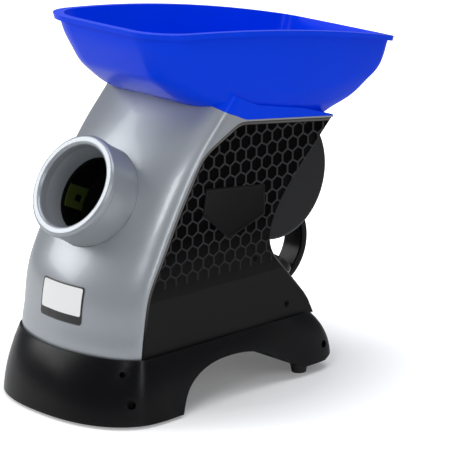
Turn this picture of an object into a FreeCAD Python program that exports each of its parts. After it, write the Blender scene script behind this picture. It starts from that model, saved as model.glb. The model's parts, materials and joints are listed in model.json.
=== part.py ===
# Automatic dog ball launcher.
#
# Frame: millimetres, +Z up.  The origin is the bottom centre of the whole
# launcher.  The nozzle points to -Y and the carrying handle is at +Y.  The
# launcher is symmetric left and right of the YZ plane apart from its gear
# train and controls.
#
# The "launch line" is the tilted axis of barrel, tube and striker.  Pieces on
# it are drawn along their own +Z with that axis as Z, zero at the muzzle, and
# with -Y as the side that faces up; one placement then tilts them.

import FreeCAD
import Part
import math
import os

Vector = FreeCAD.Vector
doc = FreeCAD.newDocument("BallLauncher")
sheet = doc.addObject("Spreadsheet::Sheet", "Sizes")

sizes = [
    ("shell_half_width", 83.0, "half width of the grey body shell"),
    ("nose_depth", 34.7, "how far the rounded nose of the shell stands forward"),
    ("nose_power", 1.8, "fullness of the rounded nose"),
    ("nose_foot_y", -144.4, "where the straight sides start, at the deck"),
    ("nose_head_y", -21.4, "where the straight sides start, at the top"),
    ("shell_top", 290.0, "height of the shell at the front of the neck"),
    ("shell_wall", 2.5, "wall of the shell"),
    ("deck_top", 58.5, "top face of the base deck"),
    ("deck_wall", 3.0, "thickness of the deck and walls of the base"),
    ("rim_rise", 3.0, "rim of the base above its deck"),
    ("deck_gap", 0.4, "gap between the shell and the rim of the base"),
    ("skirt_bottom", 3.0, "lower edge of the base skirt"),
    ("heel_bottom", 10.0, "underside of the rear heel"),
    ("skirt_flare", 15.4, "base half width beyond the shell, at the floor"),
    ("skirt_middle", 12.5, "base half width beyond the shell, at mid height"),
    ("skirt_shoulder", 3.5, "base half width beyond the shell, at the rim"),
    ("toe_reach", 67.3, "depth of the rounded toe of the base, at the floor"),
    ("toe_y", -133.4, "where the toe of the base starts"),
    ("heel_y", 96.0, "rear end of the base, at the floor"),
    ("arch_front_y", -110.3, "front foot of the side arch"),
    ("arch_rear_y", 49.8, "rear foot of the side arch"),
    ("arch_height", 43.4, "height of the side arch"),
    ("foot_radius", 9.0, "radius of a rubber foot"),
    ("panel_thickness", 3.0, "thickness of a side panel"),
    ("panel_proud", 0.2, "side panel behind the skin of the shell"),
    ("panel_gap", 0.6, "gap around a side panel"),
    ("panel_bevel", 2.2, "bevel along the edge of a side panel"),
    ("panel_top_y", -15.0, "front end of the straight top edge of a panel"),
    ("panel_top_z", 261.0, "height of that end"),
    ("tail_y", 97.5, "rear tip of the body under the hopper"),
    ("tail_z", 246.4, "height of that tip"),
    ("waist_y", 16.6, "narrowest place of the body, seen from the side"),
    ("waist_z", 141.2, "height of the waist"),
    ("slope_top_y", 24.0, "upper end of the flat rear slope"),
    ("slope_top_z", 124.0, "its height"),
    ("slope_end_y", 62.0, "lower end of the flat rear slope"),
    ("slope_end_z", 81.0, "its height"),
    ("rump_y", 72.9, "rear end of the body on the deck"),
    ("seam_gap", 0.15, "gap between the shell and the hopper"),
    ("sliver", 2.2, "strip of shell between a panel and the hopper"),
    ("rim_front_z", 355.9, "height of the hopper rim at the front"),
    ("rim_middle_z", 338.4, "height of the hopper rim at its widest place"),
    ("rim_rear_z", 307.6, "height of the hopper rim at the rear"),
    ("rim_front_y", -123.8, "front of the hopper wall at the rim"),
    ("rim_rear_y", 197.3, "rear of the hopper wall at the rim"),
    ("rim_half_width", 85.6, "half width of the hopper wall at its widest"),
    ("flange_reach", 3.4, "rolled rim of the hopper beyond its wall"),
    ("flange_height", 5.0, "height of the rolled rim"),
    ("hopper_wall", 2.6, "wall of the hopper"),
    ("port_y", -25.0, "centre of the feed port in the hopper floor"),
    ("port_floor", 254.0, "height of the hopper floor at the port"),
    ("floor_wall", 3.0, "thickness of the hopper floor"),
    ("chute_bore", 36.0, "inner radius of the feed chute"),
    ("chute_wall", 2.5, "wall of the feed chute"),
    ("mouth_y", -157.8, "centre of the muzzle"),
    ("mouth_z", 211.7, "height of the centre of the muzzle"),
    ("launch_tilt", 31.0, "upward tilt of the launch line, degrees"),
    ("barrel_radius", 48.7, "outer radius of the barrel"),
    ("muzzle_radius", 49.5, "outer radius of the muzzle bead"),
    ("muzzle_bore", 40.0, "radius of the opening at the muzzle"),
    ("barrel_length", 72.0, "length of the barrel"),
    ("barrel_gap", 0.3, "gap between the barrel and the shell"),
    ("collar_radius", 54.0, "radius of the collar inside the shell"),
    ("collar_at", 45.0, "distance of the collar from the muzzle"),
    ("tube_bore", 35.0, "inner radius of the launch tube"),
    ("tube_wall", 2.5, "wall of the launch tube"),
    ("tube_front", 55.0, "front end of the launch tube on the launch line"),
    ("tube_rear", 240.0, "rear end of the launch tube"),
    ("tube_gap", 0.3, "gap around the launch tube"),
    ("cap_thickness", 3.0, "thickness of the tube cap"),
    ("ball_rest", 138.0, "where a ball waits on the launch line"),
    ("striker_front", 172.0, "front face of the striker at rest"),
    ("striker_length", 22.0, "length of the striker"),
    ("striker_gap", 1.2, "radial gap between striker and tube"),
    ("striker_stroke", 44.0, "travel of the striker"),
    ("head_thickness", 6.0, "thickness of the head of the striker"),
    ("lug_top", 30.0, "top of the striker lug above the launch line"),
    ("spring_radius", 17.0, "mean radius of the launch spring"),
    ("spring_wire", 2.2, "wire of the launch spring"),
    ("drum_y", 69.6, "axis of the gear housing drum"),
    ("drum_z", 187.0, "height of that axis"),
    ("drum_radius", 64.0, "outer radius of the drum"),
    ("drum_half_width", 40.0, "half width of the drum"),
    ("housing_wall", 2.5, "wall of the gear housing"),
    ("drum_fillet", 4.0, "rounding of the edge of the drum"),
    ("drive_module", 2.0, "module of the slow gear pair"),
    ("drive_teeth", 27.0, "teeth of the crank gear"),
    ("small_teeth", 8.0, "teeth of the small intermediate gear"),
    ("motor_module", 1.5, "module of the fast gear pair"),
    ("large_teeth", 30.0, "teeth of the large intermediate gear"),
    ("pinion_teeth", 10.0, "teeth of the motor pinion"),
    ("crank_bearing", 226.3, "direction from drum axis to crank axis, degrees"),
    ("motor_bearing", 40.0, "direction from drum axis to motor axis, degrees"),
    ("crank_throw", 35.0, "radius of the crank"),
    ("roller_radius", 5.0, "radius of the crank roller"),
    ("crank_shaft_radius", 4.0, "radius of the crank shaft"),
    ("idler_shaft_radius", 3.0, "radius of the intermediate shaft"),
    ("motor_radius", 18.0, "radius of the motor"),
    ("running_fit", 0.05, "radial clearance of a shaft in its bush"),
    ("plate_thickness", 2.4, "thickness of a chassis plate"),
    ("handle_y", 89.3, "centre of the handle ring"),
    ("handle_z", 109.0, "height of that centre"),
    ("handle_radius", 46.3, "outer radius of the handle ring"),
    ("handle_depth", 8.0, "thickness of the handle"),
    ("handle_half_width", 13.0, "half width of the handle"),
    ("handle_round", 2.5, "rounding of the handle edges"),
    ("cell_radius", 17.1, "radius of a D cell"),
    ("cell_length", 61.5, "length of a D cell"),
    ("cell_front_y", -161.0, "front row of cells"),
    ("cell_rear_y", -126.0, "rear row of cells"),
    ("control_x", 60.0, "distance of the controls from the middle"),
    ("dial_radius", 14.0, "radius of the distance dial"),
    ("screw_head", 3.0, "radius of a screw head"),
    ("floor_land", 4.0, "least rim of floor between the battery door and the skirt"),
]
for row, (alias, value, note) in enumerate(sizes, start=1):
    sheet.set("A%d" % row, str(value))
    sheet.setAlias("A%d" % row, alias)
    sheet.set("B%d" % row, note)
doc.recompute()


def size(alias):
    return float(sheet.get(alias))


def bind(thing, **expressions):
    # Ties properties of an object to the cells of the sheet.
    for name, expression in expressions.items():
        thing.setExpression(name.replace("__", "."), expression)


def box(name, length, width, height, at=("0", "0", "0")):
    # Block whose sizes and corner are expressions.
    thing = doc.addObject("Part::Box", name)
    bind(thing, Length=length, Width=width, Height=height)
    bind(thing, Placement__Base__x=at[0], Placement__Base__y=at[1])
    bind(thing, Placement__Base__z=at[2])
    return thing


def rod(name, radius, height, at=("0", "0", "0"), along="z"):
    # Cylinder along z, or along x from its starting face.
    thing = doc.addObject("Part::Cylinder", name)
    bind(thing, Radius=radius, Height=height)
    if along == "x":
        thing.Placement.Rotation = FreeCAD.Rotation(Vector(0, 1, 0), 90)
    if along == "y":
        thing.Placement.Rotation = FreeCAD.Rotation(Vector(1, 0, 0), -90)
    bind(thing, Placement__Base__x=at[0], Placement__Base__y=at[1])
    bind(thing, Placement__Base__z=at[2])
    return thing


def fuse(name, *things):
    thing = doc.addObject("Part::MultiFuse", name)
    thing.Shapes = list(things)
    return thing


def cut(name, base, tool):
    thing = doc.addObject("Part::Cut", name)
    thing.Base = base
    thing.Tool = tool
    return thing


def common(name, base, tool):
    thing = doc.addObject("Part::MultiCommon", name)
    thing.Shapes = [base, tool]
    return thing


def on_launch_line(thing):
    # Tilts a piece drawn along z onto the launch line.
    thing.Placement.Rotation = FreeCAD.Rotation(Vector(1, 0, 0), -90)
    bind(thing, Placement__Base__y="Sizes.mouth_y")
    bind(thing, Placement__Base__z="Sizes.mouth_z")
    bind(thing, Placement__Rotation__Angle="-(90 + Sizes.launch_tilt)")
    return thing


parts = []


def sub_part(thing, label):
    # Names a finished sub-part of the launcher.
    thing.Label = label
    parts.append(thing)
    return thing


def feature(label, shape):
    thing = doc.addObject("Part::Feature", label)
    thing.Shape = shape
    return sub_part(thing, label)


def origin_plane(body, role):
    return [item for item in body.Origin.OriginFeatures if item.Role == role][0]


def new_sketch(body, name, role):
    sketch = body.newObject("Sketcher::SketchObject", name)
    sketch.AttachmentSupport = [(origin_plane(body, role), "")]
    sketch.MapMode = "FlatFace"
    return sketch


def polyline(points, closed=True):
    corners = [Vector(*point) for point in points]
    if closed:
        corners = corners + [corners[0]]
    return Part.makePolygon(corners)


def curve(points, start=None, end=None):
    # Smooth curve through points, with optional end directions.
    line = Part.BSplineCurve()
    if start is None:
        line.interpolate(points)
    else:
        line.interpolate(Points=points, InitialTangent=start, FinalTangent=end)
    return line


def side_prism(edges, half_width):
    # Solid between two planes of constant x with a side-view outline.
    face = Part.Face(Part.Wire(edges))
    face.translate(Vector(-half_width, 0, 0))
    return face.extrude(Vector(2 * half_width, 0, 0))


def side_polygon(points):
    # Edges of a side-view outline from (y, z) corners.
    return polyline([(0, y, z) for y, z in points]).Edges


def moved(shape, x=0, y=0, z=0):
    copy = shape.copy()
    copy.translate(Vector(x, y, z))
    return copy


def mirrored(shape):
    return shape.mirror(Vector(0, 0, 0), Vector(1, 0, 0))


WIDE = 150.0


# ---------------------------------------------------------------- launch line

tilt = math.radians(size("launch_tilt"))
mouth = Vector(0, size("mouth_y"), size("mouth_z"))
line_way = Vector(0, math.cos(tilt), -math.sin(tilt))
line_up = Vector(0, math.sin(tilt), math.cos(tilt))


def line_point(along, above=0.0):
    return mouth + line_way * along + line_up * above


# ------------------------------------------------------- outline of the body

def lean(height):
    # Where the straight sides start, at a height: the front leans back more
    # and more towards the top.
    foot, head = size("nose_foot_y"), size("nose_head_y")
    low, high = size("deck_top"), size("shell_top")
    steps = [(0.0, 0.0), (0.145, 0.024), (0.27, 0.065), (0.387, 0.171),
             (0.486, 0.268), (0.594, 0.382), (0.685, 0.488), (0.767, 0.593),
             (0.827, 0.691), (0.879, 0.772), (0.94, 0.89), (1.0, 1.0),
             (1.1, 1.19)]
    part_of = (height - low) / (high - low)
    for (a, b), (c, d) in zip(steps, steps[1:]):
        if part_of <= c:
            return foot + (head - foot) * (b + (d - b) * (part_of - a) / (c - a))
    return head


def nose_points(half_width, depth, power, start_y, z):
    # Rounded front outline at one height, from the left side to the right.
    points = []
    for step in range(-8, 9):
        angle = math.radians(step * 11.25)
        across = abs(math.sin(angle)) ** (2.0 / power)
        ahead = max(math.cos(angle), 0.0) ** (2.0 / power)
        side = half_width * across * (1 if step > 0 else -1)
        points.append(Vector(side, start_y - depth * ahead, z))
    return points


def skirt_outline(half_width, depth, power, start_y, rear_y, rear_half, corner, z):
    # Closed outline of the base as one curve, from the middle of its rear round
    # the left side, the nose and the right side.
    bend = corner * (1 - math.sqrt(0.5))
    run = rear_y - corner - start_y
    along = [(0.04, 1.3), (0.15, 3.8), (0.45, 10.5), (0.8, 18.5), (1.0, 23.0)]
    right = [Vector(half_width + (rear_half - half_width) * part_of,
                    start_y + run * part_of, z) for part_of, mark in along]
    right = right + [Vector(rear_half - bend, rear_y - bend, z),
                     Vector(rear_half - corner, rear_y, z),
                     Vector(rear_half * 0.45, rear_y, z), Vector(0, rear_y, z)]
    marks = [mark for part_of, mark in along] + [24.2, 25.4, 29.6, 34.2]
    left = [Vector(-point.x, point.y, z) for point in right[::-1]]
    front = nose_points(half_width, depth, power, start_y, z)
    before = [34.2 - mark for mark in marks[::-1]]
    middle = [34.2 + step for step in range(17)]
    after = [50.2 + mark for mark in marks]
    line = Part.BSplineCurve()
    line.interpolate(Points=left + front + right, Parameters=before + middle + after,
                     InitialTangent=Vector(-1, 0, 0), FinalTangent=Vector(-1, 0, 0))
    return Part.Wire([line.toShape()])


def body_section(half_width, depth, power, start_y, rear_y, z):
    # Closed outline of the body: sides and nose in one curve, and the rear.
    along = [(rear_y - start_y, 28.4), (60.0, 8.4), (24.0, 3.4), (8.0, 1.2)]
    front = nose_points(half_width, depth, power, start_y, z)
    left = [Vector(-half_width, start_y + step, z) for step, mark in along]
    right = [Vector(half_width, start_y + step, z) for step, mark in along[::-1]]
    marks = [28.4 - mark for step, mark in along]
    marks = marks + [28.4 + step for step in range(17)]
    marks = marks + [44.4 + mark for step, mark in along[::-1]]
    line = Part.BSplineCurve()
    line.interpolate(Points=left + front + right, Parameters=marks,
                     InitialTangent=Vector(0, -1, 0), FinalTangent=Vector(0, 1, 0))
    return Part.Wire([line.toShape(), Part.makeLine(right[-1], left[0])])


def body_block(inset_side, inset_front, low, high):
    # Solid inside the leaning front and straight sides of the shell.
    steps = [0.0, 0.09, 0.18, 0.28, 0.38, 0.49, 0.6, 0.7, 0.8, 0.9, 1.0]
    wires = []
    for part_of in steps:
        z = low + (high - low) * part_of
        half = size("shell_half_width") - inset_side
        wires.append(body_section(half, size("nose_depth") - inset_front,
                                  size("nose_power"), lean(z), 170.0, z))
    return Part.makeLoft(wires, True, False)


def rear_edges(inset):
    # Rear outline of the body in side view, from its tip down to the deck.
    # An inset moves it into the body.
    tip = Vector(0, size("tail_y"), size("tail_z"))
    waist = Vector(0, size("waist_y"), size("waist_z"))
    top = Vector(0, size("slope_top_y"), size("slope_top_z"))
    end = Vector(0, size("slope_end_y"), size("slope_end_z"))
    rump = Vector(0, size("rump_y"), size("deck_top"))
    hollow = tip + (waist - tip) * 0.5
    upper = tip + (hollow - tip) * 0.97 + Vector(0, -2.2, 5.4) * 1.7
    lower = waist + Vector(0, 7.0, 25.9)
    down = (end - top).normalize()
    away = Vector(0, -down.z, down.y)
    points = [tip, upper, lower, waist, top]
    shifts = [Vector(0, -1.25, 0), Vector(0, -1.25, 0.5), Vector(0, -1.2, 0.4),
              Vector(0, -1, 0), away * -1.0]
    points = [point + shift * inset for point, shift in zip(points, shifts)]
    bend = curve(points, (upper - tip).normalize(), down).toShape()
    low_end = end - away * inset
    low_rump = rump + Vector(0, -1.05 * inset, 0)
    return points[0], low_rump, [bend, Part.makeLine(points[-1], low_end),
                                 Part.makeLine(low_end, low_rump)]


def joint_height(y):
    # Height of the seam between shell and hopper above the panels.
    fall = (size("panel_top_z") - size("tail_z"))
    run = size("tail_y") - size("panel_top_y")
    return size("panel_top_z") + size("sliver") - fall / run * (y - size("panel_top_y"))


def joint_edges(lift):
    # Seam between shell and hopper in side view, from the front to the tail.
    start_y = size("panel_top_y")
    crest = Vector(0, size("nose_head_y") - size("nose_depth") - 3.5,
                   size("shell_top") - 0.5 + lift)
    ahead = crest + Vector(0, -12, -13)
    shoulder = Vector(0, start_y - 10, joint_height(start_y) + 4.0 + lift)
    first = Vector(0, start_y + 1, joint_height(start_y + 1) + lift)
    middle = (crest + shoulder) * 0.5 + Vector(0, -2.0, -2.5)
    far_y = 260.0
    far = Vector(0, far_y, joint_height(far_y) + lift)
    front = Part.makeLine(ahead, crest)
    way = (far - first).normalize()
    bend = curve([crest, middle, shoulder, first],
                 Vector(0, 0.8, -0.6), way).toShape()
    return ahead, far, [front, bend, Part.makeLine(first, far)]


# Everything under the seam, and everything above it.
ahead, far, seam = joint_edges(0.0)
floor_front, floor_rear = Vector(0, -260, -10), Vector(0, far.y, -10)
edge_front = Vector(0, -260, ahead.z)
under_seam = side_prism([Part.makeLine(edge_front, ahead)] + seam
                        + [Part.makeLine(far, floor_rear),
                           Part.makeLine(floor_rear, floor_front),
                           Part.makeLine(floor_front, edge_front)], WIDE)


def body_region(inset, top_lift, half_width):
    # Side view of the body between deck, rear outline and seam, as a solid.
    first, last, back = rear_edges(inset)
    top = Vector(0, first.y, 330)
    corner_top, corner_low = Vector(0, -260, 330), Vector(0, -260, last.z)
    loop = back + [Part.makeLine(last, corner_low),
                   Part.makeLine(corner_low, corner_top),
                   Part.makeLine(corner_top, top), Part.makeLine(top, first)]
    region = side_prism(loop, half_width)
    return region.common(moved(under_seam, z=top_lift))


# ------------------------------------------------------------------- the base

def skirt_section(part_of, inset):
    # Outline of the base at three heights: floor, middle and rim.
    flare = [size("skirt_flare"), size("skirt_middle"), size("skirt_shoulder")]
    start = [size("toe_y"), size("toe_y") - 3.6, size("nose_foot_y")]
    reach = [size("toe_reach"), size("toe_reach") - 7.8, size("nose_depth") + 3.5]
    power = [2.33, 2.2, size("nose_power")]
    rear = [size("heel_y"), size("heel_y") - 1.0, size("rump_y") - 2.0]
    rear_half = [size("skirt_flare") - 7, size("skirt_middle") - 6,
                 size("skirt_shoulder") - 2]
    low, high = size("skirt_bottom"), size("deck_top") + size("rim_rise")
    heights = [low, low + (high - low) * 0.43, high]
    half = size("shell_half_width")
    return skirt_outline(half + flare[part_of] - inset, reach[part_of] - inset,
                         power[part_of], start[part_of], rear[part_of] - inset,
                         half + rear_half[part_of] - inset, 14 - inset * 0.5,
                         heights[part_of])


def skirt_block(inset):
    wires = [skirt_section(part_of, inset) for part_of in range(3)]
    return Part.makeLoft(wires, True, False)


def arch_block(grow):
    # Space under the side arch and under the rear heel, grown by a wall.
    front, rear = size("arch_front_y") - grow, size("arch_rear_y") + grow
    crown, heel = size("arch_height") + grow, size("heel_bottom") + grow
    low = Vector(0, front, -20)
    foot = Vector(0, front, 0)
    points = [foot, Vector(0, front + 9.5, 0.55 * crown),
              Vector(0, front + 36.7, 0.93 * crown),
              Vector(0, front + 72.6, crown),
              Vector(0, rear - 35.0, 0.68 * crown),
              Vector(0, rear - 15.0, 0.68 * crown - 10.9),
              Vector(0, rear, heel)]
    bend = curve(points, Vector(0, 0.25, 0.97), Vector(0, 0.87, -0.49)).toShape()
    flat = Vector(0, rear + 32.0, heel)
    tip = Vector(0, rear + 70.0, heel + 16.0)
    end = Vector(0, rear + 70.0, -20)
    return side_prism([Part.makeLine(low, foot), bend,
                       Part.makeLine(points[-1], flat),
                       Part.makeLine(flat, tip), Part.makeLine(tip, end),
                       Part.makeLine(end, low)], WIDE)


wall = size("deck_wall")
deck_top, deck_bottom = size("deck_top"), size("deck_top") - wall
skirt_outer = skirt_block(0.0)
skirt_inner = skirt_block(wall)
arch = arch_block(0.0)
below_deck = Part.makeBox(400, 500, deck_bottom + 20, Vector(-200, -250, -20))
bay = skirt_inner.common(below_deck).cut(arch_block(wall))
recess = body_block(-size("deck_gap"), -size("deck_gap"), deck_top,
                    size("shell_top"))
recess = recess.common(Part.makeBox(300, 500, 40, Vector(-150, -250, deck_top)))
first, last, back = rear_edges(-size("deck_gap"))
behind = Part.makeBox(300, 200, 60, Vector(-150, last.y + 3.4, deck_top - 5))
recess = recess.cut(behind)
wire_hole = Part.makeBox(36, 22, 20, Vector(-18, -70, deck_bottom - 5))
heel_hole = Part.makeBox(30, 14, 20, Vector(-15, 44, deck_bottom - 5))


def base_hole(x, y, z, away_x, away_y, radius, depth, start=14.0):
    # Round hole drilled square to the skin of the base.
    way = Vector(-away_x, -away_y, 0).normalize()
    return Part.makeCylinder(radius, depth + start, Vector(x, y, z) - way * start,
                             way)


def on_skin(start_x, start_y, z, away_x, away_y):
    # Where a level line from inside the base meets its skin.
    start = Vector(start_x, start_y, z)
    line = Part.makeLine(start, start + Vector(away_x, away_y, 0) * 200)
    ends = [vertex.Point for vertex in skirt_outer.common(line).Vertexes]
    spot = max(ends, key=lambda point: (point - start).Length)
    return spot.x, spot.y


half_width = size("shell_half_width")
screw_starts = [
    (half_width - 25.6, size("toe_y"), deck_top - 8.6, 0.51, -0.86, 2.6, 4.2),
    (half_width - 47.5, size("toe_y"), 23.0, 0.855, -0.519, 3.9, 5.0),
    (0.0, size("heel_y") - 15.0, 26.0, 1.0, 0.0, 3.6, 5.0),
]
base_shape = skirt_outer.cut(arch)
bosses, holes, screws = [], [], []
for start_x, start_y, z, away_x, away_y, radius, depth in screw_starts:
    x, y = on_skin(start_x, start_y, z, away_x, away_y)
    boss = base_hole(x, y, z, away_x, away_y, radius + 2.2, 12.0, 10.0)
    bosses.append(boss)
    holes.append(base_hole(x, y, z, away_x, away_y, radius, depth))
    way = Vector(-away_x, -away_y, 0).normalize()
    seat = Vector(x, y, z) + way * depth
    head = Part.makeCylinder(radius - 0.4, 1.6, seat - way * 1.6, way)
    shank = Part.makeCylinder(radius * 0.45, 6.0, seat - way * 0.1, way)
    slot_along = Part.makeBox(0.8, 8, 2 * radius)
    slot_along.translate(Vector(-0.4, -4, -radius))
    turn = math.degrees(math.atan2(away_y, away_x)) + 90
    slot_along.rotate(Vector(0, 0, 0), Vector(0, 0, 1), turn)
    cross = Part.makeBox(0.8, 1.2, 2 * radius - 2.0,
                         Vector(-0.4, -0.6, -radius + 1.0))
    cross = cross.fuse(Part.makeBox(2 * radius - 2.0, 1.2, 0.8,
                                    Vector(-radius + 1.0, -0.6, -0.4)))
    cross.rotate(Vector(0, 0, 0), Vector(0, 0, 1), turn)
    cross.translate(seat - way * 1.4)
    screws.append((head.fuse(shank)).cut(cross))
    holes.append(base_hole(x, y, z, away_x, away_y, radius * 0.45 + 0.15, 12.0))
inside = Part.makeCompound(bosses + [mirrored(item) for item in bosses])
inside = inside.common(skirt_inner)
base_shape = base_shape.cut(bay.cut(inside))
for item in holes:
    base_shape = base_shape.cut(item).cut(mirrored(item))
tube_outer = size("tube_bore") + size("tube_wall")
tail_inner = tube_outer + size("tube_gap")
tail_outer = tail_inner + 2.2
tail_hole = Part.makeCylinder(tail_outer + 0.4, 90, line_point(170), line_way)
tail_hole = tail_hole.common(Part.makeBox(100, 300, 30,
                                          Vector(-50, -100, deck_bottom - 1)))
base_shape = base_shape.cut(recess).cut(wire_hole).cut(heel_hole).cut(tail_hole)
base = feature("base_skirt", base_shape.removeSplitter())
screws = screws + [mirrored(item) for item in screws]
feature("base_screws", Part.makeCompound(screws))

floor_top = size("skirt_bottom") + wall
floor_slab = Part.makeBox(400, 300, wall,
                          Vector(-200, -250, size("skirt_bottom")))
floor_shape = skirt_block(wall + 0.3).common(floor_slab)
floor_shape = floor_shape.cut(arch_block(wall + 0.3))
door_half = size("cell_length") + 5.0
door_front = size("cell_front_y") - size("cell_radius") - 2.0
door_rear = size("arch_front_y") - 8.0
door_hole = Part.makeBox(2 * door_half, door_rear - door_front, 20,
                         Vector(-door_half, door_front, -5))
land = wall + size("floor_land")
door_hole = door_hole.common(moved(skirt_block(land), z=-2))
feature("base_floor", floor_shape.cut(door_hole).removeSplitter())

# Door of the battery bay, flush with the floor, held by one screw.
door = box("DoorPlate", "2 * (Sizes.cell_length + 5.0) - 0.8",
           "Sizes.arch_front_y - 8.8 - Sizes.cell_front_y + Sizes.cell_radius + 2",
           "Sizes.deck_wall",
           ("-(Sizes.cell_length + 4.6)",
            "Sizes.cell_front_y - Sizes.cell_radius - 1.6",
            "Sizes.skirt_bottom"))
door_bore = rod("DoorBore", "1.7", "20", ("0", "Sizes.cell_front_y - Sizes.cell_radius + 1.6", "-5"))
door_sink = rod("DoorSink", "Sizes.screw_head + 0.3", "Sizes.skirt_bottom + 1.6",
                ("0", "Sizes.cell_front_y - Sizes.cell_radius + 1.6", "0"))
door_tools = fuse("DoorTools", door_bore, door_sink)
door_outline = doc.addObject("Part::Feature", "DoorOutline")
door_outline.Shape = moved(skirt_block(land + 0.4), z=-2)
door_plate = common("DoorInLand", door, door_outline)
sub_part(cut("BatteryDoor", door_plate, door_tools), "battery_door")
door_head = rod("DoorScrewHead", "Sizes.screw_head", "1.5",
                ("0", "Sizes.cell_front_y - Sizes.cell_radius + 1.6", "Sizes.skirt_bottom + 0.1"))
door_shank = rod("DoorScrewShank", "1.5", "7.0",
                 ("0", "Sizes.cell_front_y - Sizes.cell_radius + 1.6", "Sizes.skirt_bottom + 1"))
door_screw = fuse("DoorScrew", door_head, door_shank)
door_slot = box("DoorSlot", "0.8", "4.4", "0.8",
                ("-0.4", "Sizes.cell_front_y - Sizes.cell_radius - 0.6", "Sizes.skirt_bottom - 0.1"))
sub_part(cut("DoorScrewCut", door_screw, door_slot), "battery_door_screw")

# Battery box over four cells; it opens towards the door.
cell_z = floor_top + size("cell_radius") + 0.3
box_top = cell_z + size("cell_radius") + 3.0
box_front = size("cell_front_y") - size("cell_radius") - 1.8
box_rear = size("cell_rear_y") + size("cell_radius") + 2.6
box_half = size("cell_length") + 3.6
tray = Part.makeBox(2 * box_half, box_rear - box_front, box_top - floor_top,
                    Vector(-box_half, box_front, floor_top))
tray_room = Part.makeBox(2 * box_half - 3.6, box_rear - box_front - 3.0,
                         box_top - floor_top - 2.0,
                         Vector(-box_half + 1.8, box_front + 1.5, floor_top))
tray = tray.cut(tray_room.common(skirt_block(wall + 0.3 + 1.5)))
post = Part.makeCylinder(4.0, deck_bottom - box_top + 1.0)
for x in (-45.0, 45.0):
    for y in (-152.0, -120.0):
        tray = tray.fuse(moved(post, x, y, box_top - 1.0))
room = skirt_block(wall + 0.3).common(below_deck).cut(arch_block(wall + 0.3))
feature("battery_box", tray.common(room).removeSplitter())

cells = []
for row_y in (size("cell_front_y"), size("cell_rear_y")):
    for side in (-1, 1):
        start = 1.2 if side > 0 else -1.2 - size("cell_length")
        body = Part.makeCylinder(size("cell_radius"), size("cell_length") - 1.5,
                                 Vector(start, row_y, cell_z), Vector(1, 0, 0))
        nub = Part.makeCylinder(4.5, 1.6,
                                Vector(start + size("cell_length") - 1.6, row_y,
                                       cell_z), Vector(1, 0, 0))
        cells.append(body.fuse(nub).removeSplitter())
feature("battery_cells", Part.makeCompound(cells))
contacts = []
for side in (-1, 1):
    for row_y in (size("cell_front_y"), size("cell_rear_y")):
        plate = Part.makeBox(0.5, 16, 18, Vector(0, row_y - 8, cell_z - 9))
        x = side * (box_half - 1.8)
        x = x - 0.5 if side > 0 else x
        contacts.append(moved(plate, x))
feature("battery_contacts", Part.makeCompound(contacts))

# Rubber feet.
feet = []
for side in (-1, 1):
    front_foot = Part.makeCone(size("foot_radius") - 1, size("foot_radius"),
                               size("skirt_bottom"))
    rear_foot = Part.makeCone(size("foot_radius") - 2, size("foot_radius"),
                              size("heel_bottom"))
    feet.append(moved(front_foot, side * (half_width - 3), size("toe_y") - 4, 0))
    feet.append(moved(rear_foot, side * (half_width - 7),
                      size("arch_rear_y") + 11, 0))
feature("rubber_feet", Part.makeCompound(feet))

# ------------------------------------------------------------ the grey shell

half = size("shell_half_width")
panel_face = half - size("panel_proud")
panel_seat = panel_face - size("panel_thickness")
side_inner = panel_seat - size("shell_wall")
shell_high = size("shell_top") + 8
shell_outer = body_block(0.0, 0.0, deck_top, shell_high)
shell_inner = body_block(half - side_inner, size("shell_wall") + 0.5,
                         deck_top, shell_high)
region = body_region(0.0, -size("seam_gap"), WIDE)


def panel_outline(grow):
    # Edges of a side panel in side view, grown by a gap.
    foot_y = lean(deck_top)
    low = deck_top + 0.5
    heights = [low, 88.0, 119.6, 148.2, 171.2, 196.5, 217.5, 235.4]
    points = []
    for z in heights:
        forward = 3.2 * max(0.0, (90.0 - abs(z - 60.0)) / 90.0)
        points.append(Vector(0, lean(z) - forward - grow, z))
    points.append(Vector(0, -49.5 - grow * 0.8, 249.4 + grow * 0.6))
    points.append(Vector(0, -34.0 - grow * 0.5, 257.2 + grow * 0.9))
    start_y, start_z = size("panel_top_y"), size("panel_top_z")
    points.append(Vector(0, start_y, start_z + grow))
    tail = Vector(0, size("tail_y"), size("tail_z") + grow)
    along = (tail - points[-1]).normalize()
    front = curve(points, Vector(0, 0.05, 1), along).toShape()
    first, last, back = rear_edges(0.0)
    rise = Part.makeLine(tail, first) if grow > 0.01 else None
    low_front = points[0]
    edges = [front, Part.makeLine(points[-1], tail)]
    if rise:
        edges.append(rise)
    if grow > 0.01:
        under = Vector(0, last.y, low - grow - 5)
        corner = Vector(0, low_front.y, low - grow - 5)
        edges = edges + back + [Part.makeLine(last, under),
                                Part.makeLine(under, corner),
                                Part.makeLine(corner, low_front)]
        return edges
    cut_back = back[:2]
    end = cut_back[-1].Vertexes[-1].Point
    foot_end = last + (end - last) * (0.5 / (end.z - last.z))
    foot_end = Vector(0, foot_end.y, low)
    return edges + cut_back + [Part.makeLine(end, foot_end),
                               Part.makeLine(foot_end, low_front)]


pocket = Part.Face(Part.Wire(panel_outline(size("panel_gap"))))
pocket = moved(pocket, panel_seat).extrude(Vector(20, 0, 0))
launch_hole = Part.makeCylinder(size("barrel_radius") + size("barrel_gap"), 75,
                                line_point(-10), line_way)
shell = shell_outer.common(region).cut(shell_inner)
shell = shell.cut(pocket).cut(mirrored(pocket)).cut(launch_hole)
panel_spots = [(-5.0, 128.0), (36.9, 74.7)]
for y, z in panel_spots:
    shell = shell.cut(Part.makeCylinder(1.6, 2 * WIDE, Vector(-WIDE, y, z),
                                        Vector(1, 0, 0)))
shell = sorted(shell.removeSplitter().Solids, key=lambda item: item.Volume)[-1]
feature("front_shell", shell)


# ---------------------------------------------------------------- side panels

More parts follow.
